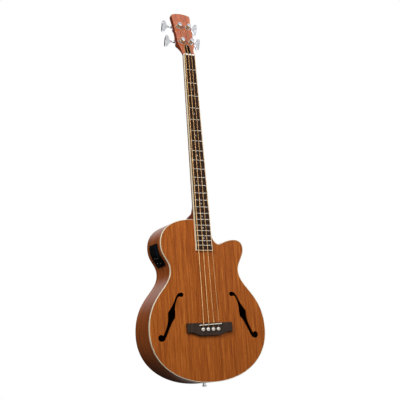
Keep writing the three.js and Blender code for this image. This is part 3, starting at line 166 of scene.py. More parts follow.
# Wood: bands of lighter and darker growth, fine lines between them and open pores, all longer along the
# grain. Bands, lines and pores are given as widths and lengths in millimetres
def makeWood(name, look):
    material, tree, shader = newMaterial(name, look["surface"])
    where = addNode(tree, "ShaderNodeTexCoord", {}, {})
    socket = where.outputs["UV" if look.get("followsPath") else "Object"]

    def grain(width, length, detail, shift):
        scale = [1000 / width, 1000 / width, 1000 / length]
        if look.get("followsPath"):
            scale = [1000 / length, 1000 / width, 1]
        place = addNode(tree, "ShaderNodeMapping", {}, {
            "Vector": socket,
            "Scale": scale,
            "Location": (shift, shift, shift),
            "Rotation": (math.radians(look.get("leanDegrees", 0)), 0, 0),
        })
        return addNode(tree, "ShaderNodeTexNoise", {}, {
            "Vector": place.outputs["Vector"], "Scale": 1.0, "Detail": detail, "Roughness": 0.55,
        })

    bands = grain(*look["bands"], 3.0, 3.1)
    lines = grain(*look["lines"], 2.0, 11.7)
    pores = grain(*look["pores"], 1.0, 23.9)
    both = addNode(tree, "ShaderNodeMix", {"data_type": "FLOAT"}, {
        0: look["lineShare"], 2: bands.outputs["Fac"], 3: lines.outputs["Fac"],
    })
    tone = addNode(tree, "ShaderNodeValToRGB", {"stops": look["stops"]}, {"Fac": both.outputs[0]})
    pits = addNode(tree, "ShaderNodeMapRange", {}, {
        "Value": pores.outputs["Fac"], "From Min": 0.56, "From Max": 0.68,
        "To Min": 1.0, "To Max": look["poreTone"],
    })
    coloured = addNode(tree, "ShaderNodeMix", {"data_type": "RGBA", "blend_type": "MULTIPLY"}, {
        0: 1.0, 6: tone.outputs["Color"], 7: pits.outputs["Result"],
    })
    tree.links.new(coloured.outputs[2], shader.inputs["Base Color"])
    relief = addNode(tree, "ShaderNodeBump", {}, {
        "Strength": look["relief"], "Distance": 0.0002, "Height": pits.outputs["Result"],
    })
    tree.links.new(relief.outputs["Normal"], shader.inputs["Normal"])
    return material


# Mahogany under satin lacquer, quarter sawn: straight ribbons some 7 mm wide, with open pores that read as
# short dark dashes
mahoganyTop = makeWood("mahogany_satin_lacquered", {
    "surface": {"Roughness": 0.45, "Specular IOR Level": 0.06},
    "bands": (7.5, 420.0), "lines": (1.9, 80.0), "lineShare": 0.65, "pores": (0.7, 9.0), "poreTone": 0.68,
    "stops": [(0.3, "#7a380e"), (0.44, "#a3531b"), (0.56, "#bc6624"), (0.7, "#d68034")],
    "relief": 0.25,
})

# The sides are the same wood stained a little darker and buffed, so they mirror the room in long soft streaks
sideLook = {
    "surface": {"Roughness": 0.3, "Specular IOR Level": 0.22},
    "bands": (10.0, 300.0), "lines": (2.6, 60.0), "lineShare": 0.4, "pores": (1.2, 10.0), "poreTone": 0.78,
    "stops": [(0.3, "#6f3211"), (0.48, "#964c1d"), (0.6, "#ac5b24"), (0.75, "#c47233")],
    "relief": 0.2,
}
mahoganySide = makeWood("mahogany_gloss_lacquered", {**sideLook, "followsPath": True})

# The back has the same stain and stays duller
mahoganyBack = makeWood("mahogany_back_lacquered", {
    **sideLook, "surface": {"Roughness": 0.42, "Specular IOR Level": 0.04},
    "bands": (11.0, 420.0), "lines": (2.6, 70.0), "pores": (1.2, 11.0),
})

# The linings and the inside of sides and back are painted nearly black: painted shade for the dark inside of
# the closed box, so that the sound holes read dark
insideShadeWood = makeWood("mahogany_inside_painted_shade", {
    **sideLook, "surface": {"Roughness": 0.8, "Specular IOR Level": 0.1}, "poreTone": 0.8,
    "stops": [(0.3, "#1c100a"), (0.5, "#2a1911"), (0.7, "#382318")],
})

# The neck is plain mahogany stained red brown, rubbed to a satin that the hand slides on
mahoganyNeck = makeWood("mahogany_neck_satin", {
    "surface": {"Roughness": 0.4, "Specular IOR Level": 0.06},
    "bands": (7.0, 260.0), "lines": (1.8, 45.0), "lineShare": 0.45, "pores": (0.9, 8.0), "poreTone": 0.75,
    "stops": [(0.3, "#4f1d10"), (0.48, "#712d18"), (0.62, "#873d20"), (0.75, "#9b4f2b")],
    "relief": 0.2,
})
# The head's face is a veneer under thick gloss lacquer, so it washes out where it meets the light. Its colour
# is painted much lighter than the neck's: partly a lighter veneer, partly painted sheen that stands in for
# that wash of gloss
mahoganyHead = makeWood("mahogany_head_veneer_gloss_painted_sheen", {
    "surface": {"Roughness": 0.3, "Specular IOR Level": 0.45, "Coat Weight": 1.0, "Coat Roughness": 0.08},
    "bands": (8.0, 180.0), "lines": (2.0, 40.0), "lineShare": 0.45, "pores": (1.0, 8.0), "poreTone": 0.75,
    "stops": [(0.3, "#8a361c"), (0.46, "#b95a33"), (0.6, "#d17343"), (0.74, "#e28e5a")],
    "relief": 0.2,
    "leanDegrees": 13.4,
})

# Spruce inside is planed and bare, pale with even narrow year lines
paleWood = makeWood("spruce_planed_bare", {
    "surface": {"Roughness": 0.75},
    "bands": (3.0, 260.0), "lines": (1.0, 60.0), "lineShare": 0.4, "pores": (0.6, 5.0), "poreTone": 0.92,
    "stops": [(0.3, "#b98d58"), (0.5, "#cda571"), (0.7, "#dcb986")],
    "relief": 0.15,
})

# Rosewood, oiled: purple brown with near-black streaks and long open pores, a little greyer on the bridge
rosewoodLook = {
    "surface": {"Roughness": 0.5, "Specular IOR Level": 0.1},
    "bands": (4.0, 120.0), "lines": (1.4, 30.0), "lineShare": 0.5, "pores": (0.8, 6.0), "poreTone": 0.6,
    "stops": [(0.28, "#110906"), (0.45, "#2a170f"), (0.6, "#3d2418"), (0.75, "#553225")],
    "relief": 0.35,
}
rosewood = makeWood("rosewood_oiled", rosewoodLook)
rosewoodBridge = makeWood("rosewood_bridge_oiled", {
    **rosewoodLook, "surface": {"Roughness": 0.5, "Specular IOR Level": 0.15},
    "stops": [(0.28, "#17100d"), (0.45, "#2c1f18"), (0.6, "#3f2e24"), (0.75, "#544036")],
})


# Plastics, bone and metal: two tones that drift into each other, a roughness that varies with handling, and
# a fine relief. Cloud and grit are sizes in millimetres
def makeSolid(name, look):
    material, tree, shader = newMaterial(name, look["surface"])
    where = addNode(tree, "ShaderNodeTexCoord", {}, {})
    cloud = addNode(tree, "ShaderNodeTexNoise", {}, {
        "Vector": where.outputs["Object"], "Scale": 1000 / look["cloudSize"], "Detail": 3.0, "Roughness": 0.6,
    })
    stops = list(zip((0.35, 0.65), look["tones"]))
    tone = addNode(tree, "ShaderNodeValToRGB", {"stops": stops}, {"Fac": cloud.outputs["Fac"]})
    tree.links.new(tone.outputs["Color"], shader.inputs["Base Color"])
    handled = addNode(tree, "ShaderNodeMapRange", {}, {
        "Value": cloud.outputs["Fac"], "From Min": 0.3, "From Max": 0.7,
        "To Min": look["roughness"][0], "To Max": look["roughness"][1],
    })
    tree.links.new(handled.outputs["Result"], shader.inputs["Roughness"])
    grit = addNode(tree, "ShaderNodeTexNoise", {}, {
        "Vector": where.outputs["Object"], "Scale": 1000 / look["gritSize"], "Detail": 1.0,
    })
    relief = addNode(tree, "ShaderNodeBump", {}, {
        "Strength": look["relief"], "Distance": 0.0001, "Height": grit.outputs["Fac"],
    })
    tree.links.new(relief.outputs["Normal"], shader.inputs["Normal"])
    return material


# ABS binding, scraped and lacquered with the body: warm cream that has yellowed unevenly
creamPlastic = makeSolid("abs_cream_scraped", {
    "surface": {"Coat Weight": 0.2, "Coat Roughness": 0.15}, "tones": ("#f0ddb8", "#fbeccd"),
    "cloudSize": 60.0, "roughness": (0.35, 0.45), "gritSize": 0.9, "relief": 0.05,
})
# Polished bone has a faint cloud and a soft gloss
bone = makeSolid("bone_polished", {
    "surface": {"Coat Weight": 0.3, "Coat Roughness": 0.1}, "tones": ("#f2e9d8", "#fffaf0"),
    "cloudSize": 7.0, "roughness": (0.28, 0.38), "gritSize": 0.6, "relief": 0.05,
})
# Black ABS, moulded with a fine spark texture that keeps it from shining
blackPlastic = makeSolid("abs_black_moulded", {
    "surface": {"Specular IOR Level": 0.04}, "tones": ("#0c0c0d", "#131314"),
    "cloudSize": 12.0, "roughness": (0.38, 0.5), "gritSize": 0.8, "relief": 0.25,
})
# Chromed zinc: nearly a mirror, with faint handling marks
chrome = makeSolid("zinc_chrome_plated", {
    "surface": {"Metallic": 1.0}, "tones": ("#d3d5da", "#e2e4e8"),
    "cloudSize": 9.0, "roughness": (0.08, 0.2), "gritSize": 1.5, "relief": 0.03,
})
# Nickel silver fret wire, ground level and polished: a warm grey gleam
fretMetal = makeSolid("nickel_silver_polished", {
    "surface": {"Metallic": 1.0}, "tones": ("#a9a69c", "#bdbab0"),
    "cloudSize": 5.0, "roughness": (0.18, 0.3), "gritSize": 0.8, "relief": 0.06,
})
# Steel as turned or drawn is duller and plain grey
steel = makeSolid("steel_turned", {
    "surface": {"Metallic": 1.0}, "tones": ("#8e9094", "#a1a3a7"),
    "cloudSize": 6.0, "roughness": (0.28, 0.42), "gritSize": 0.7, "relief": 0.1,
})
# Screws of the preamp are blackened, so that they only show by their shine
darkSteel = makeSolid("steel_blackened", {
    "surface": {"Metallic": 1.0}, "tones": ("#3a3b3e", "#4a4b4e"),
    "cloudSize": 4.0, "roughness": (0.3, 0.4), "gritSize": 0.7, "relief": 0.1,
})
# Brass of the gears, drawn and unpolished, glints softly
brass = makeSolid("brass_drawn", {
    "surface": {"Metallic": 1.0}, "tones": ("#ab8a4e", "#c4a365"),
    "cloudSize": 6.0, "roughness": (0.3, 0.42), "gritSize": 0.7, "relief": 0.1,
})
# The tuner's window is smooth acrylic over a dark display, faintly blue
displayGlass = makeSolid("acrylic_dark_polished", {
    "surface": {"Specular IOR Level": 0.15}, "tones": ("#0f1826", "#152235"),
    "cloudSize": 20.0, "roughness": (0.08, 0.12), "gritSize": 3.0, "relief": 0.0,
})
# Dots in the bridge pins are brown ABS, polished with the pin
pinDotMaterial = makeSolid("abs_brown_polished", {
    "surface": {}, "tones": ("#3a2a1c", "#4b3828"),
    "cloudSize": 3.0, "roughness": (0.3, 0.4), "gritSize": 0.6, "relief": 0.05,
})
# Pearl dots let into the fretboard, grey with a thin gloss
pearl = makeSolid("pearl_polished", {
    "surface": {"Coat Weight": 0.5, "Coat Roughness": 0.1}, "tones": ("#7d7b70", "#a3a093"),
    "cloudSize": 3.0, "roughness": (0.2, 0.3), "gritSize": 0.8, "relief": 0.05,
})


# Phosphor bronze wire wound on steel: each wrap is painted light on its crown and dark in the groove beside
# it, a painted highlight and painted shade that go with the bump. The wraps are about 0.5 mm apart and drawn
# twice as coarse, so that they show
def makeWound():
    look = {
        "wrap": 1.0, "waveScale": 0.628, "relief": 0.5,
        "stops": [(0.3, "#8a6638"), (0.55, "#b98e58"), (0.8, "#d8b07c")],
    }
    material, tree, shader = newMaterial("phosphor_bronze_wound", {"Metallic": 1.0, "Roughness": 0.34})
    where = addNode(tree, "ShaderNodeTexCoord", {}, {})
    place = addNode(tree, "ShaderNodeMapping", {}, {
        "Vector": where.outputs["UV"], "Scale": (1.0, 1000 / look["wrap"], 1.0),
    })
    # A band every wrap, slanted once round the string
    wraps = addNode(tree, "ShaderNodeTexWave", {"bands_direction": "DIAGONAL"}, {
        "Vector": place.outputs["Vector"], "Scale": look["waveScale"], "Distortion": 0.0,
    })
    # Painted highlight on each wrap's crown, painted shade in the grooves between wraps
    tone = addNode(tree, "ShaderNodeValToRGB", {"stops": look["stops"]}, {"Fac": wraps.outputs["Fac"]})
    tree.links.new(tone.outputs["Color"], shader.inputs["Base Color"])
    relief = addNode(tree, "ShaderNodeBump", {}, {
        "Strength": look["relief"], "Distance": 0.0002, "Height": wraps.outputs["Fac"],
    })
    tree.links.new(relief.outputs["Normal"], shader.inputs["Normal"])
    return material


woundBronze = makeWound()


def numbered(part):
    return [f"{part}_{number}" for number in range(1, 5)]


# What the CAD nodes wear, those that a finer piece replaces included
finishes = {
    mahoganyTop: ["soundboard"],
    mahoganyBack: ["bass_side", "treble_side", "back_plate"],
    mahoganyNeck: ["neck"],
    mahoganyHead: ["head_veneer"],
    # The linings wear the painted shade of the box's inside
    insideShadeWood: ["top_lining_bass", "top_lining_treble", "back_lining_bass", "back_lining_treble"],
    paleWood: [
        "neck_block", "tail_block", "bass_tone_bar", "treble_tone_bar", "upper_brace", "bridge_plate",
        "back_brace_upper", "back_brace_middle", "back_brace_lower",
    ],
    rosewood: ["fretboard"],
    rosewoodBridge: ["bridge"],
    creamPlastic: ["top_binding", "fretboard_binding"],
    bone: ["nut", "saddle", *numbered("bridge_pin")],
    blackPlastic: [
        "truss_rod_cover", "heel_cap", "preamp_panel", "preamp_housing", "battery_door",
        "bass_knob", "treble_knob", "volume_knob", "blend_knob", "tuner_button",
    ],
    chrome: [*numbered("machine_plate"), *numbered("tuning_post"), *numbered("tuning_key")],
    steel: ["truss_rod", "battery", "end_jack"],
    brass: ["saddle_pickup"],
    woundBronze: numbered("string"),
    displayGlass: ["display_window"],
}
for material, names in finishes.items():
    for name in names:
        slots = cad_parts[name].data.materials
        slots.clear()
        slots.append(material)
print("materials made")


# Turns a finished shape in millimetres into a piece that rides with a body
def finishPiece(name, shape, place, materials, replaced=(), body="guitar", smoothDegrees=32):
    shape.transform(place)
    bmesh.ops.remove_doubles(shape, verts=shape.verts, dist=2e-6)
    bmesh.ops.recalc_face_normals(shape, faces=shape.faces)
    mesh = bpy.data.meshes.new(name)
    shape.to_mesh(mesh)
    shape.free()
    for material in materials:
        mesh.materials.append(material)
    mesh.shade_smooth()
    mesh.set_sharp_from_angle(angle=math.radians(smoothDegrees))
    piece = bpy.data.objects.new(name, mesh)
    bpy.context.scene.collection.objects.link(piece)
    even = piece.modifiers.new("evenNormals", "WEIGHTED_NORMAL")
    even.keep_sharp = True
    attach(piece, body)
    if replaced:
        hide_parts(*replaced)
    return piece


# Rounds the sharp edges of a shape, or those that a test picks
def roundEdges(shape, width, segments, picks=None, leastDegrees=35):
    least = math.radians(leastDegrees)
    sharp = [edge for edge in shape.edges if edge.is_manifold and edge.calc_face_angle(0) > least]
    if picks:
        sharp = [edge for edge in sharp if picks(edge)]
    bmesh.ops.bevel(
        shape, geom=sharp, offset=width, offset_type="OFFSET", segments=segments,
        profile=0.5, affect="EDGES", material=-1, clamp_overlap=True,
    )


# Picks the edges of a shape's last face, up (1) or down (-1) an axis
def lastEdges(axis, level, way, slack=0.01):
    return lambda edge: all(way * (getattr(vert.co, axis) - level) > -slack for vert in edge.verts)


def vertsOf(geom):
    return [part for part in geom if isinstance(part, bmesh.types.BMVert)]


# A slab over an outline of points, made thick by a push
def slab(points, push):
    shape = bmesh.new()
    corners = [shape.verts.new(point) for point in points]
    rim = [shape.edges.new((corners[place - 1], corners[place])) for place in range(len(corners))]
    face = bmesh.ops.edgeloop_fill(shape, edges=rim)["faces"]
    grown = bmesh.ops.extrude_face_region(shape, geom=face)["geom"]
    bmesh.ops.translate(shape, verts=vertsOf(grown), vec=push)
    bmesh.ops.recalc_face_normals(shape, faces=shape.faces)
    return shape


def plate(outline, front, back):
    return slab([(x, front, z) for x, z in outline], (0, back - front, 0))


def block(low, high):
    shape = bmesh.new()
    bmesh.ops.create_cube(shape, size=1.0)
    size = Vector(high) - Vector(low)
    middle = (Vector(high) + Vector(low)) / 2
    bmesh.ops.scale(shape, verts=shape.verts, vec=size)
    bmesh.ops.translate(shape, verts=shape.verts, vec=middle)
    return shape


# A body of revolution about Z: profile holds (radius, height) pairs
def turned(profile, steps=40):
    shape = bmesh.new()
    points = [shape.verts.new((radius, 0, height)) for radius, height in profile]
    edges = [shape.edges.new(pair) for pair in zip(points, points[1:])]
    bmesh.ops.spin(
        shape, geom=points + edges, cent=(0, 0, 0), axis=(0, 0, 1), angle=2 * math.pi, steps=steps,
        use_merge=True, use_duplicate=False,
    )
    bmesh.ops.remove_doubles(shape, verts=shape.verts, dist=0.001)
    bmesh.ops.recalc_face_normals(shape, faces=shape.faces)
    return shape


# Turns Z to a direction and puts the start at a point
def standing(start, direction):
    return Matrix.Translation(start) @ Vector(direction).to_track_quat("Z", "Y").to_matrix().to_4x4()


# A round bar through a point, from low to high along a direction
def rod(radius, low, high, steps, start, direction):
    shape = turned([(0, low), (radius, low), (radius, high), (0, high)], steps)
    shape.transform(standing(start, direction))
    return shape


# Both halves of a symmetrical outline, from its right half
def bothSides(right):
    return [*right, *[(-x, z) for x, z in reversed(right)]]


# A closed skin over rings of points
def skinned(rings):
    shape = bmesh.new()
    loops = []
    for ring in rings:
        corners = [shape.verts.new(point) for point in ring]
        loops.append([shape.edges.new((corners[place - 1], corners[place])) for place in range(len(corners))])
    for low, high in zip(loops, loops[1:]):
        bmesh.ops.bridge_loops(shape, edges=low + high)
    for end in (loops[0], loops[-1]):
        bmesh.ops.edgeloop_fill(shape, edges=end)
    bmesh.ops.recalc_face_normals(shape, faces=shape.faces)
    return shape


# Cuts faces in two along a plane: all of them, or some parts
def cutAlong(shape, point, normal, parts=None, dropOuter=False):
    geom = parts or [*shape.verts, *shape.edges, *shape.faces]
    bmesh.ops.bisect_plane(shape, geom=geom, plane_co=point, plane_no=normal, clear_outer=dropOuter)


def inSecondMaterial(shape):
    for face in shape.faces:
        face.material_index = 1
    return shape


# Joins shapes into one mesh without cutting them
def together(shapes):
    joined = bmesh.new()
    for shape in shapes:
        mesh = bpy.data.meshes.new("part")
        shape.to_mesh(mesh)
        shape.free()
        joined.from_mesh(mesh)
        bpy.data.meshes.remove(mesh)
    return joined


# Cuts or joins a shape by others with the Boolean modifier
def carved(shape, tools, operation="DIFFERENCE"):
    holders = []
    for part in [shape, *tools]:
        mesh = bpy.data.meshes.new("part")
        part.to_mesh(mesh)
        part.free()
        holder = bpy.data.objects.new("part", mesh)
        bpy.context.scene.collection.objects.link(holder)
        holders.append(holder)
    for tool in holders[1:]:
        step = holders[0].modifiers.new("carve", "BOOLEAN")
        step.operation = operation
        step.solver = "EXACT"
        step.object = tool
    bpy.context.view_layer.update()
    graph = bpy.context.evaluated_depsgraph_get()
    result = bmesh.new()
    result.from_mesh(holders[0].evaluated_get(graph).to_mesh())
    for holder in holders:
        mesh = holder.data
        bpy.data.objects.remove(holder)
        bpy.data.meshes.remove(mesh)
    return result


# A smooth line through points, as hand-drawn with a spline
def throughPoints(points, steps=5):
    line = []
    for place in range(len(points) - 1):
        knots = [points[min(max(place + shift, 0), len(points) - 1)] for shift in (-1, 0, 1, 2)]
        for step in range(steps):
            t = step / steps
            line.append(tuple(
                0.5 * (2 * b + (c - a) * t + (2 * a - 5 * b + 4 * c - d) * t ** 2
                       + (3 * b - a - 3 * c + d) * t ** 3)
                for a, b, c, d in zip(*knots)
            ))
    return [*line, points[-1]]


# The outline: curves between places where it runs straight up or straight across
def bow(start, end, leavesUpright, arrivesUpright, shares, steps):
    dx, dz = end[0] - start[0], end[1] - start[1]
    leave = (0, dz * shares[0]) if leavesUpright else (dx * shares[0], 0)
    arrive = (0, dz * shares[1]) if arrivesUpright else (dx * shares[1], 0)
    knots = [start, (start[0] + leave[0], start[1] + leave[1]), (end[0] - arrive[0], end[1] - arrive[1]), end]
    line = geometry.interpolate_bezier(*[Vector((x, z, 0)) for x, z in knots], steps + 1)
    return [(point.x, point.y) for point in line[:-1]]


# How each curve leaves and arrives, as shares of its run, and its steps
bows = {
    "lower": ((0.57, 0.62), 32), "waist": ((0.6, 0.3), 26), "upper": ((0.43, 0.52), 30),
    "shoulder": ((0.69, 0.54), 36), "hornSide": ((0.35, 0.36), 14), "hornTip": ((0.66, 0.56), 18),
    "hollow": ((0.57, 0.17), 18), "neckSide": ((0.46, 0.51), 16),
}
lowerLine = bow((0, -tailDrop), bodyShape["lowerBout"], False, True, *bows["lower"])
waistLine = bow(bodyShape["lowerBout"], bodyShape["waist"], True, True, *bows["waist"])
upperLine = bow(bodyShape["waist"], bodyShape["upperBout"], True, True, *bows["upper"])
shoulderLine = bow(bodyShape["upperBout"], bodyShape["neckCorner"], True, False, *bows["shoulder"])
trebleHalf = [
    *lowerLine,
    *waistLine,
    *bow(bodyShape["waist"], bodyShape["hornSide"], True, True, *bows["hornSide"]),
    *bow(bodyShape["hornSide"], bodyShape["hornTip"], True, False, *bows["hornTip"]),
    *bow(bodyShape["hornTip"], bodyShape["hollow"], False, False, *bows["hollow"]),
    *bow(bodyShape["hollow"], bodyShape["neckSide"], False, True, *bows["neckSide"]),
    bodyShape["neckSide"],
    bodyShape["neckCorner"],
]
bassHalf = [*lowerLine, *waistLine, *upperLine, *shoulderLine, bodyShape["neckCorner"]]
bodyOutline = [*trebleHalf, *[(-x, z) for x, z in reversed(bassHalf)][:-1]]


# Moves a closed outline inwards
def inset(points, distance):
    count = len(points)
    inward = []
    for place, (x, z) in enumerate(points):
        nextX, nextZ = points[(place + 1) % count]
        reach = math.hypot(nextX - x, nextZ - z)
        inward.append((-(nextZ - z) / reach, (nextX - x) / reach))
    moved = []
    for place, (x, z) in enumerate(points):
        (ax, az), (bx, bz) = inward[place - 1], inward[place]
        spread = 1 + ax * bx + az * bz
        moved.append((x + distance * (ax + bx) / spread, z + distance * (az + bz) / spread))
    return moved


# The back leans, deeper at the tail than at the neck
backLean = math.atan2(bodyShape["depthAtTail"] - bodyShape["depthAtNeck"], tailDrop + bodyRise)
backPlace = Matrix.Translation((0, bodyShape["depthAtTail"], -tailDrop)) @ Matrix.Rotation(backLean, 4, "X")

soundHole = {
    "lowerEye": (160.4, -34.5),
    "upperEye": (85.4, 92.5),
    "lowerRadius": 10.0,
    "upperRadius": 7.0,
    "across": 75.0,
    "along": 127.0,
    "arm": [
        [(0.01, -0.054), (0.14, -0.03), (0.25, 0.045), (0.34, 0.15), (0.45, 0.265), (0.65, 0.42)],
        [(0.655, 0.54), (0.7, 0.68), (0.785, 0.81), (0.9, 0.94)],
        [(0.985, 1.078), (0.865, 1.06), (0.765, 0.98), (0.66, 0.855), (0.555, 0.735), (0.46, 0.635)],
        [
            (0.33, 0.54), (0.308, 0.43), (0.308, 0.32), (0.262, 0.2), (0.195, 0.1), (0.125, 0.048),
            (0.01, 0.055),
        ],
    ],
}
# Bridge pins: a tapered shank, a round head, its dimple and the dot in it
pins = {
    "spacing": 17.4, "drop": 14.0, "shankRadius": 3.0, "headRadius": 5.4,
    "shank": [(0, -22), (2.3, -22), (2.5, -21.6), (3.0, 0), (5.1, 0)],
    "head": [(5.4, 0.4), (5.4, 1.9), (4.95, 3.2), (3.6, 4.4), (1.6, 4.95)],
    "dimple": [(1.6, 4.6), (0, 4.6)],
    "dot": [(0, 4.3), (1.5, 4.3), (1.5, 4.85), (1.1, 4.97), (0, 5.0)],
}
stringPlaces = [pins["spacing"] * (order - 1.5) for order in range(4)]


def soundHoleTools(side):
    upperX, upperZ = soundHole["upperEye"]
    arm = [point for run in soundHole["arm"] for point in throughPoints(run)]
    outline = [(side * (upperX + soundHole["across"] * u), upperZ - soundHole["along"] * v) for u, v in arm]
    tools = [plate(outline, -overrun, overrun)]
    for end in ("upper", "lower"):
        x, z = soundHole[f"{end}Eye"]
        tools.append(rod(soundHole[f"{end}Radius"], -overrun, overrun, 48, (side * x, 0, z), (0, 1, 0)))
    return tools


def pinTools():
    radius = pins["shankRadius"] + seam
    return [rod(radius, -overrun, overrun, 24, (x, 0, -pins["drop"]), (0, 1, 0)) for x in stringPlaces]


topInset = bodyShape["bindingThickness"] + seam
topShape = plate(inset(bodyOutline, topInset), 0, bodyShape["topThickness"])
topShape = carved(topShape, [*soundHoleTools(-1), *soundHoleTools(1), *pinTools()])
finishPiece("mahogany_top", topShape, bodyPlace, [mahoganyTop], ["soundboard"])

# Binding: a strip let in round the top's edge, scraped round on its corner
bindingShape = plate(bodyOutline, 0, bodyShape["bindingDepth"])
bindingCore = plate(inset(bodyOutline, bodyShape["bindingThickness"]), -overrun, overrun)
bindingShape = carved(bindingShape, [bindingCore])
roundEdges(bindingShape, *bodyShape["bindingEdge"], lastEdges("y", 0, -1))
finishPiece("body_binding", bindingShape, bodyPlace, [creamPlastic], ["top_binding"])
print("top made")

# The flank that carries the preamp, walked by distance from the waist
flankLine = [(-x, z) for x, z in [*upperLine, *shoulderLine, bodyShape["neckCorner"]]]
preamp = {
    "rise": 56.0,
    "depth": 51.0,
    "length": 74.0,
    "width": 60.0,
    "corner": 6.0,
    "rim": 4.0,
    # Where the side is searched for the opening: left of an X, below a Z and near the opening's ends
    "flankX": -60.0,
    "flankTop": 285.0,
    "nearby": 70.0,
}


def flankAt(distance):
    walked = 0.0
    for (x0, z0), (x1, z1) in zip(flankLine, flankLine[1:]):
        reach = math.hypot(x1 - x0, z1 - z0)
        if walked + reach >= distance or (x1, z1) == flankLine[-1]:
            share = (distance - walked) / reach
            up = Vector(((x1 - x0) / reach, 0, (z1 - z0) / reach))
            point = Vector((x0 + (x1 - x0) * share, 0, z0 + (z1 - z0) * share))
            return point, up, Vector((-up.z, 0, up.x))
        walked += reach
    return None


# Bends a shape that was made flat, with X out of the flank, Y the depth and Z the rise along it
def bentOntoFlank(shape):
    for vert in shape.verts:
        point, up, out = flankAt(preamp["rise"] + vert.co.z)
        vert.co = Vector((point.x, vert.co.y, point.z)) + out * vert.co.x
    return shape


# Cuts a side along the edges of the preamp's opening and takes out the faces between them
def openForPreamp(shape):
    halfHigh = preamp["length"] / 2 - preamp["rim"]
    halfWide = preamp["width"] / 2 - preamp["rim"]
    for y in (preamp["depth"] - halfWide, preamp["depth"] + halfWide):
        cutAlong(shape, (0, y, 0), (0, 1, 0))
    low, lowUp = flankAt(preamp["rise"] - halfHigh)[:2]
    high, highUp = flankAt(preamp["rise"] + halfHigh)[:2]
    for point, up in ((low, lowUp), (high, highUp)):
        near = []
        for face in shape.faces:
            centre = face.calc_center_median()
            if (centre - point).length < preamp["nearby"] and centre.x < preamp["flankX"]:
                near += [face, *face.edges, *face.verts]
        cutAlong(shape, point, up, list(dict.fromkeys(near)))
    inside = []
    for face in shape.faces:
        centre = face.calc_center_median()
        between = (centre - low).dot(lowUp) > 0 and (centre - high).dot(highUp) < 0
        onFlank = centre.x < preamp["flankX"] and centre.z < preamp["flankTop"]
        if between and onFlank and abs(centre.y - preamp["depth"]) < halfWide:
            inside.append(face)
    bmesh.ops.delete(shape, geom=inside, context="FACES")


# A side: a strip bent round the outline, cut to the leaning back and thickened inwards
def sidePiece(name, half, side, replaced):
    shape = bmesh.new()
    along = shape.verts.layers.float.new("along")
    walked = 0.0
    verts = []
    path = [*[(side * x, z) for x, z in half], (side * seam / 2, bodyRise)]
    path[0] = (side * seam / 2, -tailDrop)
    for place, (x, z) in enumerate(path):
        if place:
            walked += math.hypot(x - path[place - 1][0], z - path[place - 1][1])
        vert = shape.verts.new((x, bodyShape["bindingDepth"] + seam, z))
        vert[along] = walked
        verts.append(vert)
    edges = [shape.edges.new(pair) for pair in zip(verts, verts[1:])]
    grown = bmesh.ops.extrude_edge_only(shape, edges=edges)["geom"]
    bmesh.ops.translate(shape, verts=vertsOf(grown), vec=(0, bodyShape["depthAtTail"] + overrun, 0))
    backPoint = backPlace @ Vector((0, -bodyShape["backThickness"] - seam, 0))
    cutAlong(shape, backPoint, backPlace.to_3x3() @ Vector((0, 1, 0)), dropOuter=True)
    if side < 0:
        openForPreamp(shape)
    bmesh.ops.recalc_face_normals(shape, faces=shape.faces)
    # The strip has to face away from the body's middle before it gets its thickness
    facing = 0.0
    for face in shape.faces:
        centre = face.calc_center_median()
        facing += face.normal.dot(Vector((centre.x, 0, centre.z - bodyShape["middleRise"])))
    if facing < 0:
        bmesh.ops.reverse_faces(shape, faces=shape.faces)
    inner = bmesh.ops.solidify(shape, geom=shape.faces[:], thickness=bodyShape["sideThickness"])["geom"]
    # The inner faces take the second material, the painted shade of the box's inside
    for part in inner:
        if isinstance(part, bmesh.types.BMFace):
            part.material_index = 1
    wrap = shape.loops.layers.uv.new("path")
    for face in shape.faces:
        for loop in face.loops:
            loop[wrap].uv = (loop.vert[along] / 1000, loop.vert.co.y / 1000)
    finishPiece(name, shape, bodyPlace, [mahoganySide, insideShadeWood], replaced)


sidePiece("bent_bass_side", bassHalf, -1, ["bass_side"])
sidePiece("bent_treble_side", trebleHalf, 1, ["treble_side"])

# The back's edge is rounded over where it meets the sides
leaningOutline = [(x, (z + tailDrop) / math.cos(backLean)) for x, z in bodyOutline]
backShape = plate(leaningOutline, -bodyShape["backThickness"], 0)
roundEdges(backShape, *bodyShape["backEdge"], lastEdges("y", 0, 1))
# Faces towards the inside take the second material, the painted shade of the box's inside
for face in backShape.faces:
    if face.normal.y < -0.9:
        face.material_index = 1
finishPiece(
    "mahogany_back", backShape, bodyPlace @ backPlace, [mahoganyBack, insideShadeWood], ["back_plate"],
)
print("sides and back made")


def fretRise(number):
    return neckShape["scale"] * 2 ** (-number / 12)


def boardHalf(rise):
    share = (rise - neckShape["boardEnd"]) / (neckShape["scale"] - neckShape["boardEnd"])
    return (neckShape["boardEndWidth"] + (neckShape["nutWidth"] - neckShape["boardEndWidth"]) * share) / 2


# The fretboard's outline from one rise to another, drawn in by a distance
def boardOutline(narrow, low, high):
    wide, slim = boardHalf(low) - narrow, boardHalf(high) - narrow
    return [(-wide, low), (wide, low), (slim, high), (-slim, high)]


# The body's space from a depth backwards, a tool for pieces of the neck
def bodySpace(front=-overrun):
    space = block((-farPast, front, -farPast), (farPast, farPast, bodyRise + seam))
    space.transform(neckPlace.inverted() @ bodyPlace)
    return space


boardTop = neckShape["scale"] - seam
boardFace = -neckShape["boardThickness"]
boardInset = neckShape["binding"] + seam
boardCore = boardOutline(boardInset, neckShape["boardEnd"] + boardInset, boardTop)
boardShape = carved(plate(boardCore, boardFace, -seam), [bodySpace(-seam)])
finishPiece("rosewood_fretboard", boardShape, neckPlace, [rosewood], ["fretboard"])

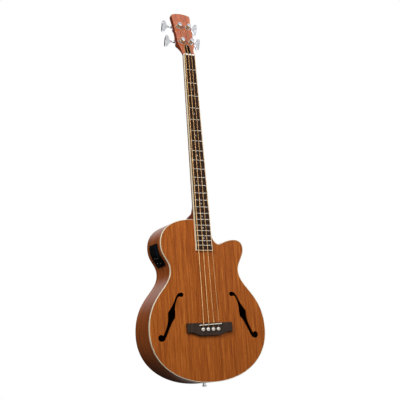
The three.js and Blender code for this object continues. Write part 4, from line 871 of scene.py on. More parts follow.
edgeShape = plate(boardOutline(0, neckShape["boardEnd"], boardTop), boardFace, -seam)
edgeCore = boardOutline(
    neckShape["binding"], neckShape["boardEnd"] + neckShape["binding"], boardTop + overrun
)
edgeShape = carved(edgeShape, [plate(edgeCore, -overrun, overrun), bodySpace(-seam)])
roundEdges(edgeShape, *neckShape["bindingEdge"])
finishPiece(
    "fretboard_edge_binding", edgeShape, neckPlace, [creamPlastic], ["fretboard_binding"],
)

# Frets: wire with a round crown, its ends filed back at the binding
fretWire = {"width": 2.4, "height": 1.1, "sunk": 0.5, "crownSteps": 8, "crownPower": 0.8, "filed": 0.5}
fretShapes = []
for number in range(1, neckShape["frets"] + 1):
    rise = fretRise(number)
    half = boardHalf(rise) - neckShape["binding"] - 2 * seam
    low, high, sunk = rise - fretWire["width"] / 2, rise + fretWire["width"] / 2, boardFace + fretWire["sunk"]
    profile = [(sunk, low), (sunk, high)]
    for step in range(fretWire["crownSteps"] + 1):
        angle = math.pi * step / fretWire["crownSteps"]
        crown = boardFace - fretWire["height"] * math.sin(angle) ** fretWire["crownPower"]
        profile.append((crown, rise + fretWire["width"] / 2 * math.cos(angle)))
    wire = slab([(-half, y, z) for y, z in profile], (2 * half, 0, 0))
    for vert in wire.verts:
        proud = max(boardFace - vert.co.y, 0)
        vert.co.x -= math.copysign(proud * fretWire["filed"], vert.co.x)
    fretShapes.append(wire)
finishPiece("fret_wires", together(fretShapes), neckPlace, [fretMetal])

# Position dots, let in flush
dots = {
    "frets": (3, 5, 7, 9, 12, 15, 17, 19, 21), "double": 12, "apart": 9.0,
    "radius": 2.2, "thickness": 1.0, "proud": 0.06,
}
dotShapes = []
for number in dots["frets"]:
    rise = (fretRise(number) + fretRise(number - 1)) / 2
    for x in ([-dots["apart"], dots["apart"]] if number == dots["double"] else [0]):
        start = (x, boardFace - dots["proud"], rise)
        dotShapes.append(rod(dots["radius"], 0, dots["thickness"], 28, start, (0, 1, 0)))
finishPiece("position_dots", together(dotShapes), neckPlace, [pearl])
print("fretboard made")

stringShape = {
    "radii": [1.33, 1.07, 0.83, 0.58],
    "nutSpacing": 10.9,
    "action": 1.8,
    "fromPin": 4.7,
    "ballRadius": 2.5,
    "ballLength": 4.0,
    "coilTurns": 2.1,
    "coilGap": 1.1,
    "sides": 14,
    "coilSteps": 40,
}
nutPlaces = [stringShape["nutSpacing"] * (order - 1.5) for order in range(4)]
bridge = {
    "half": 76.5, "rise": 6.0, "drop": 23.0, "belly": 33.0, "height": 9.0, "bevel": (2.5, 5),
    "bellyShares": [(0.78, 0), (0.66, 0.32), (0.52, 0.76), (0.38, 0.97), (0.2, 1.0)], "underplate": 3.0,
}
bridgeFace = -bridge["height"] - seam
saddle = {
    "length": 74.8, "thickness": 3.0, "proud": 6.0, "slot": 6.5, "slantDegrees": 2.76, "pickup": 1.6,
    "edge": (1.1, 4),
}
saddleTop = bridgeFace - saddle["proud"]
saddleSlant = math.radians(saddle["slantDegrees"])
# Each post's X and rise on the head, and the side that its key is on
posts = [(-16.6, 50.0, -1), (-16.6, 109.0, -1), (16.6, 109.0, 1), (16.6, 50.0, 1)]
machine = {
    "plateHalf": 12.5, "plateFront": 17.3, "plateBack": 19.1, "plateLow": -13.0, "plateHigh": 27.0,
    "plateEdge": (0.45, 3), "corner": 3.5, "screw": (1.9, 1.0), "screwFromSide": 3.5, "screwFromEnd": 3.4,
    "sleeve": 6.2, "bore": 5.25, "washer": 9.0, "washerHeight": 2.0,
    "ears": (10.0, 12.2), "earTop": 27.7, "earHalf": 4.5, "earEdge": (0.35, 2), "earSunk": 0.1,
    "spindleHole": 2.3, "gearMiddle": 23.7, "wormOffset": 14.0,
    "post": 5.0, "postTop": 13.46, "cap": 7.0, "capTop": 16.06,
    "gearFront": 21.2, "gearBack": 26.2, "gearScrew": 3.6, "gearScrewTop": 28.2,
    "teeth": 20, "tip": 11.3, "root": 9.2,
}

# Bridge: a bevelled block with a belly behind the pins
belly = throughPoints([(1.0, 0), (0.9, 0), *bridge["bellyShares"], (0, 1.0)], 4)[4:]
bellyPoints = [
    (across * bridge["half"], -bridge["drop"] - down * (bridge["belly"] - bridge["drop"]))
    for across, down in belly
]
bridgeOutline = [
    (-bridge["half"], bridge["rise"]),
    (-bridge["half"], -bridge["drop"]),
    *[(-x, z) for x, z in bellyPoints],
    *bellyPoints[-2::-1],
    (bridge["half"], -bridge["drop"]),
    (bridge["half"], bridge["rise"]),
]
bridgeShape = plate(bridgeOutline, bridgeFace, -seam)
roundEdges(bridgeShape, *bridge["bevel"], lastEdges("y", bridgeFace, -1))


def saddlePlank(front, back, grow, thickness):
    half = saddle["length"] / 2 + grow
    plank = block((-half, front, -thickness / 2), (half, back, thickness / 2))
    plank.transform(Matrix.Rotation(-saddleSlant, 4, "Y"))
    return plank


slotFloor = bridgeFace + saddle["slot"]
bridgeTools = [saddlePlank(-overrun, slotFloor, seam, saddle["thickness"] + 2 * seam), *pinTools()]
for x, radius in zip(stringPlaces, stringShape["radii"]):
    bridgeTools.append(block(
        (x - radius - seam, -overrun, -pins["drop"]),
        (x + radius + seam, overrun, -pins["drop"] + pins["headRadius"] + radius),
    ))
bridgeShape = carved(bridgeShape, bridgeTools)
finishPiece("rosewood_bridge", bridgeShape, bodyPlace, [rosewoodBridge], ["bridge"])

saddleShape = saddlePlank(saddleTop, slotFloor - seam - saddle["pickup"] - seam, 0, saddle["thickness"])
roundEdges(saddleShape, *saddle["edge"], lastEdges("y", saddleTop, -1))
finishPiece("bone_saddle", saddleShape, bodyPlace, [bone], ["saddle"])

# Bridge pins with a round head and a dark dot
for order, x in enumerate(stringPlaces):
    pin = turned([*pins["shank"], *throughPoints(pins["head"]), *pins["dimple"]])
    dot = inSecondMaterial(turned(pins["dot"], 28))
    pinAndDot = together([pin, dot])
    pinAndDot.transform(standing((x, bridgeFace - seam, -pins["drop"]), (0, -1, 0)))
    finishPiece(
        f"bridge_pin_{order + 1}_turned", pinAndDot, bodyPlace, [bone, pinDotMaterial],
        [f"bridge_pin_{order + 1}"],
    )
print("bridge made")


# A round tube through points: UV holds the way round and the distance along
def tube(points, radii, sides):
    shape = bmesh.new()
    wrap = shape.loops.layers.uv.new("wrap")
    headings = [
        (points[min(place + 1, len(points) - 1)] - points[max(place - 1, 0)]).normalized()
        for place in range(len(points))
    ]
    across = Vector((1, 0, 0))
    rings = []
    for point, heading, radius in zip(points, headings, radii):
        across = (across - heading * across.dot(heading)).normalized()
        up = heading.cross(across)
        ring = bmesh.ops.create_circle(shape, cap_ends=False, radius=radius, segments=sides)["verts"]
        turn = Matrix((across, up, heading)).transposed().to_4x4()
        bmesh.ops.transform(shape, matrix=Matrix.Translation(point) @ turn, verts=ring)
        rings.append(ring)
    walked = 0.0
    for place in range(len(rings) - 1):
        step = (points[place + 1] - points[place]).length
        low, high = rings[place], rings[place + 1]
        for side in range(sides):
            corners = [low[side], low[(side + 1) % sides], high[(side + 1) % sides], high[side]]
            face = shape.faces.new(corners)
            turns = [side / sides, (side + 1) / sides, (side + 1) / sides, side / sides]
            runs = [walked, walked, walked + step, walked + step]
            for loop, turn, run in zip(face.loops, turns, runs):
                loop[wrap].uv = (turn, run / 1000)
        walked += step
    for ring in (rings[0], rings[-1]):
        shape.faces.new(ring)
    bmesh.ops.recalc_face_normals(shape, faces=shape.faces)
    return shape


neckToBody = bodyPlace.inverted() @ neckPlace
headToBody = bodyPlace.inverted() @ headPlace


def stringRest(radius):
    return boardFace - stringShape["action"] - radius


# From the ball under the bridge plate, over saddle and nut, to the coil round the post
def stringPath(order):
    radius = stringShape["radii"][order]
    bridgeX, nutX = stringPlaces[order], nutPlaces[order]
    ballTop = bodyShape["topThickness"] + bridge["underplate"] + 4 * seam
    holeZ = -pins["drop"] + stringShape["fromPin"] + seam
    pastPin = -pins["drop"] + pins["headRadius"] + 2 * (radius + seam)
    shift = stringShape["ballRadius"] - radius
    saddleZ = bridgeX * math.tan(saddleSlant)
    overSaddle = saddleTop - radius - seam
    points = [Vector((bridgeX, y, z)) for y, z in (
        (ballTop + stringShape["ballLength"], holeZ + shift),
        (ballTop, holeZ + shift),
        (ballTop - seam, holeZ),
        (-bridge["height"] / 3, holeZ),
        (bridgeFace + bridge["height"] / 4, holeZ + radius),
        (bridgeFace - radius - seam, pastPin),
        (overSaddle, saddleZ - saddle["thickness"] / 2),
        (overSaddle, saddleZ + saddle["thickness"] / 2),
    )]
    for z in (neckShape["scale"] - radius, headRise):
        points.append(neckToBody @ Vector((nutX, stringRest(radius), z)))
    radii = [stringShape["ballRadius"]] * 2 + [radius] * (len(points) - 2)
    postX, postRise, side = posts[order]
    leaves = headToBody.inverted() @ points[-1]
    coilRadius = machine["post"] + seam + radius
    dx, dz = leaves.x - postX, leaves.z - postRise
    meets = math.atan2(dz, dx) - side * math.acos(coilRadius / math.hypot(dx, dz))
    low = machine["washerHeight"] + 2 * seam + radius
    pitch = 2 * radius + stringShape["coilGap"]
    for step in range(round(stringShape["coilTurns"] * stringShape["coilSteps"]) + 1):
        turns = step / stringShape["coilSteps"]
        angle = meets - side * 2 * math.pi * turns
        coil = Vector((coilRadius * math.cos(angle), -low - pitch * turns, coilRadius * math.sin(angle)))
        points.append(headToBody @ (Vector((postX, 0, postRise)) + coil))
        radii.append(radius)
    return points, radii


for order in range(4):
    points, radii = stringPath(order)
    finishPiece(
        f"wound_string_{order + 1}", tube(points, radii, stringShape["sides"]), bodyPlace, [woundBronze],
        [f"string_{order + 1}"], smoothDegrees=50,
    )
print("strings made")

# Nut: a bone block with a groove for each string, its front edge rounded
nutFront = boardFace - neckShape["nutProud"]
nutHalf = neckShape["nutWidth"] / 2
nutShape = block((-nutHalf, nutFront, neckShape["scale"]), (nutHalf, -seam, headRise - seam))
roundEdges(nutShape, *neckShape["nutEdge"], lastEdges("y", nutFront, -1))
nutTools = []
for x, radius in zip(nutPlaces, stringShape["radii"]):
    half = radius + seam
    nutTools.append(block(
        (x - half, nutFront - overrun, neckShape["scale"] - overrun),
        (x + half, stringRest(radius) + half, headRise + overrun),
    ))
finishPiece("bone_nut", carved(nutShape, nutTools), neckPlace, [bone], ["nut"])

# Neck and head are one carving, from the heel that stands against the body to the head's crown
heel = {
    "slices": [
        (0.04, 0.98, 0.62), (0.19, 0.96, 0.4), (0.26, 0.94, 0.33), (0.38, 0.91, 0.29), (0.52, 0.87, 0.26),
        (0.68, 0.82, 0.225), (0.84, 0.74, 0.18), (1.0, 0.64, 0.14), (1.15, 0.54, 0.1),
    ],
    "fillet": 11.0,
    "filletFrom": 14.0,
    "roundness": 0.3,
    "shaftRoundness": 0.45,
    "shaftFlatness": 2.5,
    "reach": 1.1,
    "rises": [
        -4, 0, 4, 7, 9, 10.5, 12, 13.5, 15, 16.5, 18, 19.5, 21, 22.5, 24, 25.5, 27, 28.5, 30, 32, 34, 36,
        38.5, 41, 44, 48, 53, 59, 66, 75, 90,
    ],
    "capThickness": 2.0,
    "capEdge": (0.7, 3),
    "capGap": 0.05,
    "capSteps": 40,
}
heelLine = throughPoints(heel["slices"], 6)
headSlices = [
    (0.6, 0), (0.67, 0.13), (0.79, 0.2), (0.87, 0.262), (0.885, 0.36), (0.895, 0.62), (0.93, 0.77),
    (0.985, 0.9), (0.985, 0.935), (0.93, 0.962), (0.6, 0.985), (0.25, 0.997),
]
headSide = throughPoints([
    (across * neckShape["headHalf"], along * neckShape["headLength"]) for across, along in headSlices
])
headOutline = [*headSide, (0, neckShape["headLength"]), *[(-x, z) for x, z in reversed(headSide)]]
carving = {
    "points": 73, "sidePoints": 12, "cornerPoints": 8, "corner": 2.0, "crown": 2.0, "crownStart": 0.5,
    "throatEnd": 38.0, "throatSteps": 12, "turnFrom": 10.0, "turnRings": 4, "shaftRings": 8, "core": 1.25,
    "rays": 180, "rayLength": 140.0, "halvings": 18,
}


# Reads a line of (place, values...) at a place
def valuesAt(line, place):
    if place <= line[0][0]:
        return line[0][1:]
    for low, high in zip(line, line[1:]):
        if place <= high[0]:
            share = (place - low[0]) / (high[0] - low[0])
            return tuple(a + (b - a) * share for a, b in zip(low[1:], high[1:]))
    return line[-1][1:]


# A line's points again, at even distances along it
def evenly(points, count):
    reach = [0.0]
    for here, there in zip(points, points[1:]):
        reach.append(reach[-1] + math.dist(here, there))
    line = [(along, *point) for along, point in zip(reach, points)]
    return [valuesAt(line, reach[-1] * place / (count - 1)) for place in range(count)]


def shaftDepth(rise):
    heelTop = bodyRise + neckShape["heelDepth"]
    share = min(max((rise - heelTop) / (headRise - heelTop), 0), 1)
    return neckShape["shaftAtHeel"] + (neckShape["shaftAtNut"] - neckShape["shaftAtHeel"]) * share


# Below zero inside the wood: the round shaft and the heel run into each other over a hollow
def outsideNeck(x, y, rise):
    depth = shaftDepth(rise)
    across, down = (x / boardHalf(rise)) ** 2, (y / depth) ** heel["shaftFlatness"]
    shaft = ((across + down) ** heel["shaftRoundness"] - 1) * depth
    width, length = valuesAt(heelLine, y / neckShape["heelDepth"])
    across = abs(x) / (boardHalf(bodyRise) * width)
    reach = neckShape["heelDepth"] * length
    along = max(rise - bodyRise, 0) / reach
    power = 1 / heel["roundness"]
    foot = ((across ** power + along ** power) ** heel["roundness"] - 1) * reach
    fillet = heel["fillet"] * min(max(y / heel["filletFrom"], 0.001), 1)
    nearness = max(fillet - abs(shaft - foot), 0)
    return max(min(shaft, foot) - nearness ** 2 / (4 * fillet), y - heel["reach"] * neckShape["heelDepth"])


# A ring of the neck's wood: on each ray out of its middle, the place where the wood ends
def neckRing(rise):
    line = []
    for step in range(carving["rays"] + 1):
        angle = math.pi * step / carving["rays"]
        inside, outside = 0.0, carving["rayLength"]
        for halving in range(carving["halvings"]):
            reach = (inside + outside) / 2
            if outsideNeck(reach * math.cos(angle), reach * math.sin(angle), rise) < 0:
                inside = reach
            else:
                outside = reach
        half = boardHalf(min(rise, neckShape["scale"]))
        line.append((min(max(inside * math.cos(angle), -half), half), inside * math.sin(angle)))
    return evenly(line, carving["points"])


# Across the head: straight sides and a flat back with rounded corners
def headRing(half, front, back):
    corner = min(carving["corner"], half * 0.9)
    count = carving["sidePoints"]
    right = [(half, front + (back - corner - front) * step / count) for step in range(count)]
    for step in range(carving["cornerPoints"]):
        angle = math.pi / 2 * step / (carving["cornerPoints"] - 1)
        right.append((half - corner + corner * math.cos(angle), back - corner + corner * math.sin(angle)))
    flat = carving["points"] - 2 * len(right)
    across = [((half - corner) * (1 - 2 * (step + 1) / (flat + 1)), back) for step in range(flat)]
    return [*right, *across, *[(-x, y) for x, y in reversed(right)]]


def headHalfAt(rise):
    return valuesAt([(z, x) for x, z in headSide], rise)[0]


rings = []
for rise in heel["rises"]:
    rings.append([Vector((x, y, bodyRise + rise)) for x, y in neckRing(bodyRise + rise)])
shaftStart, shaftEnd = bodyRise + heel["rises"][-1], headRise - carving["turnFrom"]
for step in range(1, carving["shaftRings"] + 1):
    rise = shaftStart + (shaftEnd - shaftStart) * step / carving["shaftRings"]
    rings.append([Vector((x, y, rise)) for x, y in neckRing(rise)])
# The rings turn with the head's lean and grow square towards its flat back
nutRing = neckRing(neckShape["scale"])
for step in range(1, carving["turnRings"] + 1):
    share = step / carving["turnRings"]
    rise = headRise - carving["turnFrom"] * (1 - share)
    turn = Matrix.Rotation(math.radians(-neckShape["headLeanDegrees"] * share), 3, "X")
    rings.append([Vector((0, 0, rise)) + turn @ Vector((x, y, 0)) for x, y in nutRing])
headToNeck = neckPlace.inverted() @ headPlace
throatStep = carving["throatEnd"] / carving["throatSteps"]
headRises = [throatStep * (step + 0.05) for step in range(carving["throatSteps"])]
headRises += [z for x, z in headSide if z > carving["throatEnd"]]
crownFrom = neckShape["headLength"] - carving["crown"] - carving["crownStart"]
for rise in headRises:
    share = min(rise / carving["throatEnd"], 1)
    share = share * share * (3 - 2 * share)
    half = headHalfAt(rise)
    over = max(rise - crownFrom, 0)
    roundedOff = carving["crown"] - math.sqrt(max(carving["crown"] ** 2 - over ** 2, 0))
    back = neckShape["headThickness"] - roundedOff
    square = headRing(half, carving["core"], back)
    depth = neckShape["shaftAtNut"] + (neckShape["headThickness"] - neckShape["shaftAtNut"]) * share
    scale = Vector((half / (neckShape["nutWidth"] / 2), (depth - carving["core"]) / neckShape["shaftAtNut"]))
    ring = []
    for (roundX, roundY), (squareX, squareY) in zip(nutRing, square):
        x = roundX * scale.x * (1 - share) + squareX * share
        y = (carving["core"] + roundY * scale.y) * (1 - share) + squareY * share
        ring.append(headToNeck @ Vector((x, y, rise)))
    rings.append(ring)
neckWood = skinned(rings)

truss = {"half": 3.0, "cover": 1.2, "depth": 8.0, "fromBody": 27.0, "reach": 9.0}


def trussChannel():
    return block(
        (-truss["half"] - seam, -overrun, bodyRise + truss["fromBody"] - seam),
        (truss["half"] + seam, truss["cover"] + truss["depth"] + seam, headRise + truss["reach"] + seam),
    )


# The same channel in the head's coordinates
def trussInHead():
    channel = trussChannel()
    channel.transform(headToNeck.inverted())
    return channel


def postHoles(place):
    radius = machine["sleeve"] + seam
    holes = [rod(radius, -overrun, overrun, 40, (x, 0, rise), (0, 1, 0)) for x, rise, side in posts]
    for hole in holes:
        hole.transform(place)
    return holes


underHeel = block((-farPast, neckShape["heelDepth"], 0), (farPast, farPast, headRise))
neckWood = carved(neckWood, [trussChannel(), underHeel, bodySpace(), *postHoles(headToNeck)])
finishPiece(
    "mahogany_neck_carved", neckWood, neckPlace, [mahoganyNeck], ["neck"], smoothDegrees=38,
)

# The cap under the heel follows its rounded foot
width, length = valuesAt(heelLine, 1.0)
capHalf, capReach = boardHalf(bodyRise) * width, neckShape["heelDepth"] * length
capOutline = [(-capHalf, bodyRise - overrun), (capHalf, bodyRise - overrun)]
for step in range(heel["capSteps"] + 1):
    angle = math.pi * step / heel["capSteps"]
    across = math.copysign(abs(math.cos(angle)) ** (2 * heel["roundness"]), math.cos(angle))
    along = math.sin(angle) ** (2 * heel["roundness"])
    capOutline.append((capHalf * across, bodyRise + capReach * along))
capFront = neckShape["heelDepth"] + heel["capGap"]
capBack = capFront + heel["capThickness"]
capShape = plate(capOutline, capFront, capBack)
roundEdges(capShape, *heel["capEdge"], lastEdges("y", capBack, 1))
capShape = carved(capShape, [bodySpace()])
finishPiece("heel_cap_polished", capShape, neckPlace, [blackPlastic], ["heel_cap"])
print("neck carved")

# The veneer on the head's face, its edge broken by sanding
veneerShape = plate(headOutline, 0, neckShape["veneer"] - seam)
roundEdges(veneerShape, *neckShape["veneerEdge"], lastEdges("y", 0, -1))
veneerFoot = block((-overrun, -overrun, -overrun), (overrun, overrun, seam))
veneerShape = carved(veneerShape, [veneerFoot, trussInHead(), *postHoles(Matrix.Identity(4))])
finishPiece("head_veneer_polished", veneerShape, headPlace, [mahoganyHead], ["head_veneer"])


# Screw: a low dome with a cross cut in its head, along Z from its seat
def screwHead(radius, height):
    dome = turned([
        (0, -0.6), (radius * 0.6, -0.6), (radius * 0.6, 0), (radius, 0), (radius, height * 0.25),
        (radius * 0.86, height * 0.62), (radius * 0.55, height * 0.9), (0, height),
    ], 28)
    arm, half, low, high = radius * 0.58, radius * 0.13, height * 0.45, height * 3
    cuts = [block((-arm, -half, low), (arm, half, high)), block((-half, -arm, low), (half, arm, high))]
    return carved(dome, cuts)


def screwsAt(places, direction, radius, height):
    master = screwHead(radius, height)
    screws = []
    for place in places:
        screw = master.copy()
        screw.transform(standing(place, direction))
        screws.append(screw)
    master.free()
    return screws


# Cover over the rod's end: a bell with a bevelled edge and three screws
cover = {
    "outline": [(9.0, 1.2), (8.7, 9.0), (7.9, 20.0), (7.3, 29.5), (6.0, 34.5), (3.9, 37.8), (1.6, 39.1)],
    "front": -2.3, "back": -0.3, "edge": (0.6, 3), "wall": 0.8,
    "screws": [(-6.0, 5.2), (6.0, 5.2), (0.0, 34.0)], "screwSize": (1.5, 0.7),
}
coverShape = plate(bothSides(throughPoints(cover["outline"])), cover["front"], cover["back"])
roundEdges(coverShape, *cover["edge"], lastEdges("y", cover["front"], -1))
coverFloor = block((-overrun, -overrun, -overrun), (overrun, cover["front"] + cover["wall"], overrun))
coverShape = carved(coverShape, [carved(trussInHead(), [coverFloor])])
finishPiece(
    "truss_rod_cover_bevelled", coverShape, headPlace, [blackPlastic], ["truss_rod_cover"],
)
coverScrews = screwsAt([(x, cover["front"], z) for x, z in cover["screws"]], (0, -1, 0), *cover["screwSize"])
finishPiece("truss_cover_screws", together(coverScrews), headPlace, [chrome])
print("head made")


def roundedCorners(low, high, radius, steps=6):
    points = []
    for centreX, centreZ, start in (
        (high[0] - radius, high[1] - radius, 0), (low[0] + radius, high[1] - radius, 90),
        (low[0] + radius, low[1] + radius, 180), (high[0] - radius, low[1] + radius, 270),
    ):
        for step in range(steps + 1):
            angle = math.radians(start + 90 * step / steps)
            points.append((centreX + radius * math.cos(angle), centreZ + radius * math.sin(angle)))
    return points


# Machine head: the plate with its two ears, the sleeve through the head and the washer on its face
def machinePlate():
    low, high = machine["plateLow"], machine["plateHigh"]
    half, back = machine["plateHalf"], machine["plateBack"]
    base = plate(roundedCorners((-half, low), (half, high), machine["corner"]), machine["plateFront"], back)
    roundEdges(base, *machine["plateEdge"], lastEdges("y", back, 1))
    parts = [carved(base, [rod(machine["bore"], 0, overrun, 40, (0, 0, 0), (0, 1, 0))])]
    screwX, screwZ = half - machine["screwFromSide"], machine["screwFromEnd"]
    places = [(x, back, z) for x in (-screwX, screwX) for z in (low + screwZ, high - screwZ)]
    middle, tip, bend = machine["wormOffset"], machine["earTop"], machine["earHalf"]
    for side in (-1, 1):
        near, far = [side * reach for reach in machine["ears"]]
        outline = [(back - machine["earSunk"], middle + way * bend) for way in (-1, 1)]
        for step in range(13):
            angle = math.pi / 2 - math.pi * step / 12
            outline.append((tip - bend + bend * math.cos(angle), middle + bend * math.sin(angle)))
        ear = slab([(near, y, z) for y, z in outline], (far - near, 0, 0))
        roundEdges(ear, *machine["earEdge"])
        spindleHole = rod(
            machine["spindleHole"], -overrun, overrun, 28, (0, machine["gearMiddle"], middle), (1, 0, 0)
        )
        parts.append(carved(ear, [spindleHole]))
    bore, sleeve, washer, top = machine["bore"], machine["sleeve"], machine["washer"], machine["washerHeight"]
    ring = turned([
        (bore, -back), (sleeve, -back), (sleeve, 0.35), (washer, 0.35), (washer, top - 0.9),
        (washer - 0.35, top - 0.3), (washer - 1.1, top), (bore + 0.9, top), (bore + 0.3, top - 0.2),
        (bore, top - 0.7), (bore, -back),
    ], 48)
    ring.transform(standing((0, 0, 0), (0, -1, 0)))
    return [*parts, ring, *screwsAt(places, (0, 1, 0), *machine["screw"])]


# Post: drilled top with a slot for the string, and a brass gear screwed on its inner end
def tuningPost():
    cap, top, foot, neck = machine["cap"], machine["capTop"], -machine["gearBack"], machine["postTop"]
    radius = machine["post"]
    post = turned([
        (0, foot), (radius, foot), (radius, neck - 0.3), (cap - 0.5, neck + 0.1), (cap, neck + 0.6),
        (cap, top - 0.9), (cap - 0.25, top - 0.35), (cap - 0.9, top), (2.3, top), (2.0, top - 0.4),
        (1.9, top - 4.0), (0, top - 4.0),
    ], 48)
    slotHalf = stringShape["radii"][0]
    post = carved(post, [block((-overrun, -slotHalf, neck + seam), (overrun, slotHalf, overrun))])
    post.transform(standing((0, 0, 0), (0, -1, 0)))
    outline = []
    for tooth in range(machine["teeth"]):
        for radius, share in (("root", -0.225), ("tip", -0.125), ("tip", 0.125), ("root", 0.225)):
            angle = math.pi / 2 + (tooth + 0.5 + share) * 2 * math.pi / machine["teeth"]
            outline.append((machine[radius] * math.cos(angle), machine[radius] * math.sin(angle)))
    gear = inSecondMaterial(plate(outline, machine["gearFront"], machine["gearBack"]))
    radius, height = machine["gearScrew"], machine["gearScrewTop"] - machine["gearBack"]
    screw = turned([(0, -1), (radius, -1), (radius, height * 0.6), (radius - 0.5, height), (0, height)], 32)
    screw = carved(screw, [block((-overrun, -0.5, height * 0.45), (overrun, 0.5, overrun))])
    screw.transform(standing((0, machine["gearBack"], 0), (0, 1, 0)))
    return [post, gear, screw]


# Key: a spindle with its worm, a collar and a button like a flared leaf
key = {
    "spindle": 2.1, "spindleStart": -12.2, "collar": 4.0, "collarStart": 12.5, "collarLength": 5.0,
    "neck": 3.0, "end": 31.15,
    "buttonStart": 25.9, "buttonLength": 21.0, "buttonHalf": 19.0, "thickness": 6.0, "tiltDegrees": 36.7,
    "outline": [
        (0.22, 0), (0.25, 0.12), (0.36, 0.25), (0.68, 0.4), (0.94, 0.58), (1.0, 0.76), (0.86, 0.92),
        (0.45, 0.99),
    ],
    "rim": (1.9, 5), "dish": 0.7, "dishRim": 1.2,
    "wormPitch": 3.3, "wormTip": 4.3, "wormCore": 2.1, "wormTurns": 4, "wormSteps": 24,
}


def tuningKey(side):
    thin, start, collar, end = key["spindle"], key["spindleStart"], key["collar"], key["end"]
    low, high = key["collarStart"], key["collarStart"] + key["collarLength"]
    spindle = turned([
        (0, start), (thin - 0.3, start), (thin, start + 0.3), (thin, low), (collar - 0.4, low),
        (collar, low + 0.4), (collar, high - 1.2), (key["neck"], high), (thin, high + 1.0),
        (thin, end), (0, end),
    ], 32)
    spindle.transform(standing((0, 0, 0), (side, 0, 0)))
    root, tip = key["wormCore"] / 2, key["wormTip"]
    thread = [(root, -0.25), (tip, -0.12), (tip, 0.12), (root, 0.25)]
    rings = []
    for step in range(key["wormTurns"] * key["wormSteps"] + 1):
        turns = step / key["wormSteps"] - key["wormTurns"] / 2
        angle = -math.pi / 2 + 2 * math.pi * turns
        out = Vector((0, math.cos(angle), math.sin(angle)))
        rings.append([
            Vector(((turns + share) * key["wormPitch"], 0, 0)) + out * radius for radius, share in thread
        ])
    worm = skinned(rings)
    outline = bothSides(throughPoints([
        (across * key["buttonHalf"], along * key["buttonLength"]) for across, along in key["outline"]
    ]))
    button = slab([(z, -key["thickness"] / 2, x) for x, z in outline], (0, key["thickness"], 0))
    # Rounded rim, and each face dished a little
    roundEdges(button, *key["rim"])
    faces = [face for face in button.faces if abs(face.normal.y) > 0.99 and len(face.verts) > 12]
    bmesh.ops.inset_region(
        button, faces=faces, thickness=key["dishRim"], depth=-key["dish"], use_even_offset=True
    )
    if side < 0:
        button.transform(Matrix.Rotation(math.pi, 4, "Y"))
    button.transform(
        Matrix.Rotation(math.radians(key["tiltDegrees"]), 4, "X")
        @ Matrix.Translation((side * key["buttonStart"], 0, 0))
    )
    keyShape = together([spindle, worm, button])
    keyShape.transform(Matrix.Translation((0, machine["gearMiddle"], machine["wormOffset"])))
    return keyShape


for order, (x, rise, side) in enumerate(posts):
    number = order + 1
    place = headPlace @ Matrix.Translation((x, 0, rise))
    finishPiece(
        f"machine_plate_{number}_pressed", together(machinePlate()), place, [chrome],
        [f"machine_plate_{number}"],
    )
    finishPiece(
        f"tuning_post_{number}_turned", together(tuningPost()), place, [chrome, brass],
        [f"tuning_post_{number}"], body=f"tuning_post_{number}",
    )
    finishPiece(
        f"tuning_key_{number}_cast", tuningKey(side), place, [chrome], [f"tuning_key_{number}"],
        body=f"tuning_key_{number}", smoothDegrees=40,
    )
print("machine heads made")

# Jack in the tail: turned barrel, stem and flange, open for the plug
jack = {
    "depth": 56.0,
    "profile": [
        (0, -34), (6, -34), (6, 0), (5, 0.3), (5, 6.2), (7.0, 6.8), (7.5, 7.2), (7.5, 8.5), (7.1, 9.0),
        (5.4, 9.3), (5.2, 10.7), (4.8, 11.2), (3.6, 11.2), (3.3, 10.9), (3.3, -32), (0, -32),
    ],
}
jackShape = turned(jack["profile"], 56)
jackShape.transform(standing((0, jack["depth"], -tailDrop - seam), (0, 0, -1)))
finishPiece("end_jack_turned", jackShape, bodyPlace, [chrome], ["end_jack"])

# Preamp: made flat, with X out of the flank, Y the depth and Z the rise, and bent onto the side
control = {
    "face": 2.0, "back": 0.3, "plugBack": -4.5, "edge": (0.7, 3),
    "display": {
        "rise": 15.0, "depth": 35.0, "halfLong": 17.0, "halfWide": 5.5, "floor": 1.1,
        "corner": 0.8, "edge": (0.3, 2),
    },
    "door": {
        "rise": 17.5, "depth": 62.5, "halfLong": 14.75, "halfWide": 10.25, "out": 2.3, "thickness": 1.6,
        "corner": 2.0, "edge": (0.5, 3), "grooves": 3, "grooveFromEnd": 3.5, "groovePitch": 2.2,
        "grooveHalf": 0.45, "grooveReach": 5.5,
    },
    "battery": {"halfLong": 13.25, "halfWide": 8.75, "length": 48.5, "corner": 2.6, "edge": (0.7, 3)},
    "button": {"rise": -8.0, "depth": 67.0, "radius": 2.4, "floor": -0.6, "low": 0.7, "top": 3.6},
    "knobs": {
        "bass_knob": (-9.0, 35.0), "treble_knob": (-9.0, 52.0),
        "volume_knob": (-25.0, 35.0), "blend_knob": (-25.0, 52.0),
    },
    "knobRadius": 5.0, "knobTop": 7.3, "knobEdge": (0.6, 3), "flutes": 24, "fluteDepth": 0.16,
    "shaft": 1.5, "shaftEnd": -2.5,
    "screws": (33.2, 26.2), "screwSize": (1.6, 0.6),
    "slice": 4.0,
}


# A flat part's lowest and highest corner, from its middle, its halves and how far out it runs
def boxAbout(spot, out, grow=0.0):
    low = (out[0], spot["depth"] - spot["halfWide"] - grow, spot["rise"] - spot["halfLong"] - grow)
    high = (out[1], spot["depth"] + spot["halfWide"] + grow, spot["rise"] + spot["halfLong"] + grow)
    return low, high


def paneAbout(spot, out, corner):
    low, high = boxAbout(spot, out)
    outline = roundedCorners((low[1], low[2]), (high[1], high[2]), corner)
    return slab([(out[0], y, z) for y, z in outline], (out[1] - out[0], 0, 0))


def panelHole(rise, depth, radius, low=-overrun):
    return rod(radius, low, overrun, 32, (0, depth, rise), (1, 0, 0))


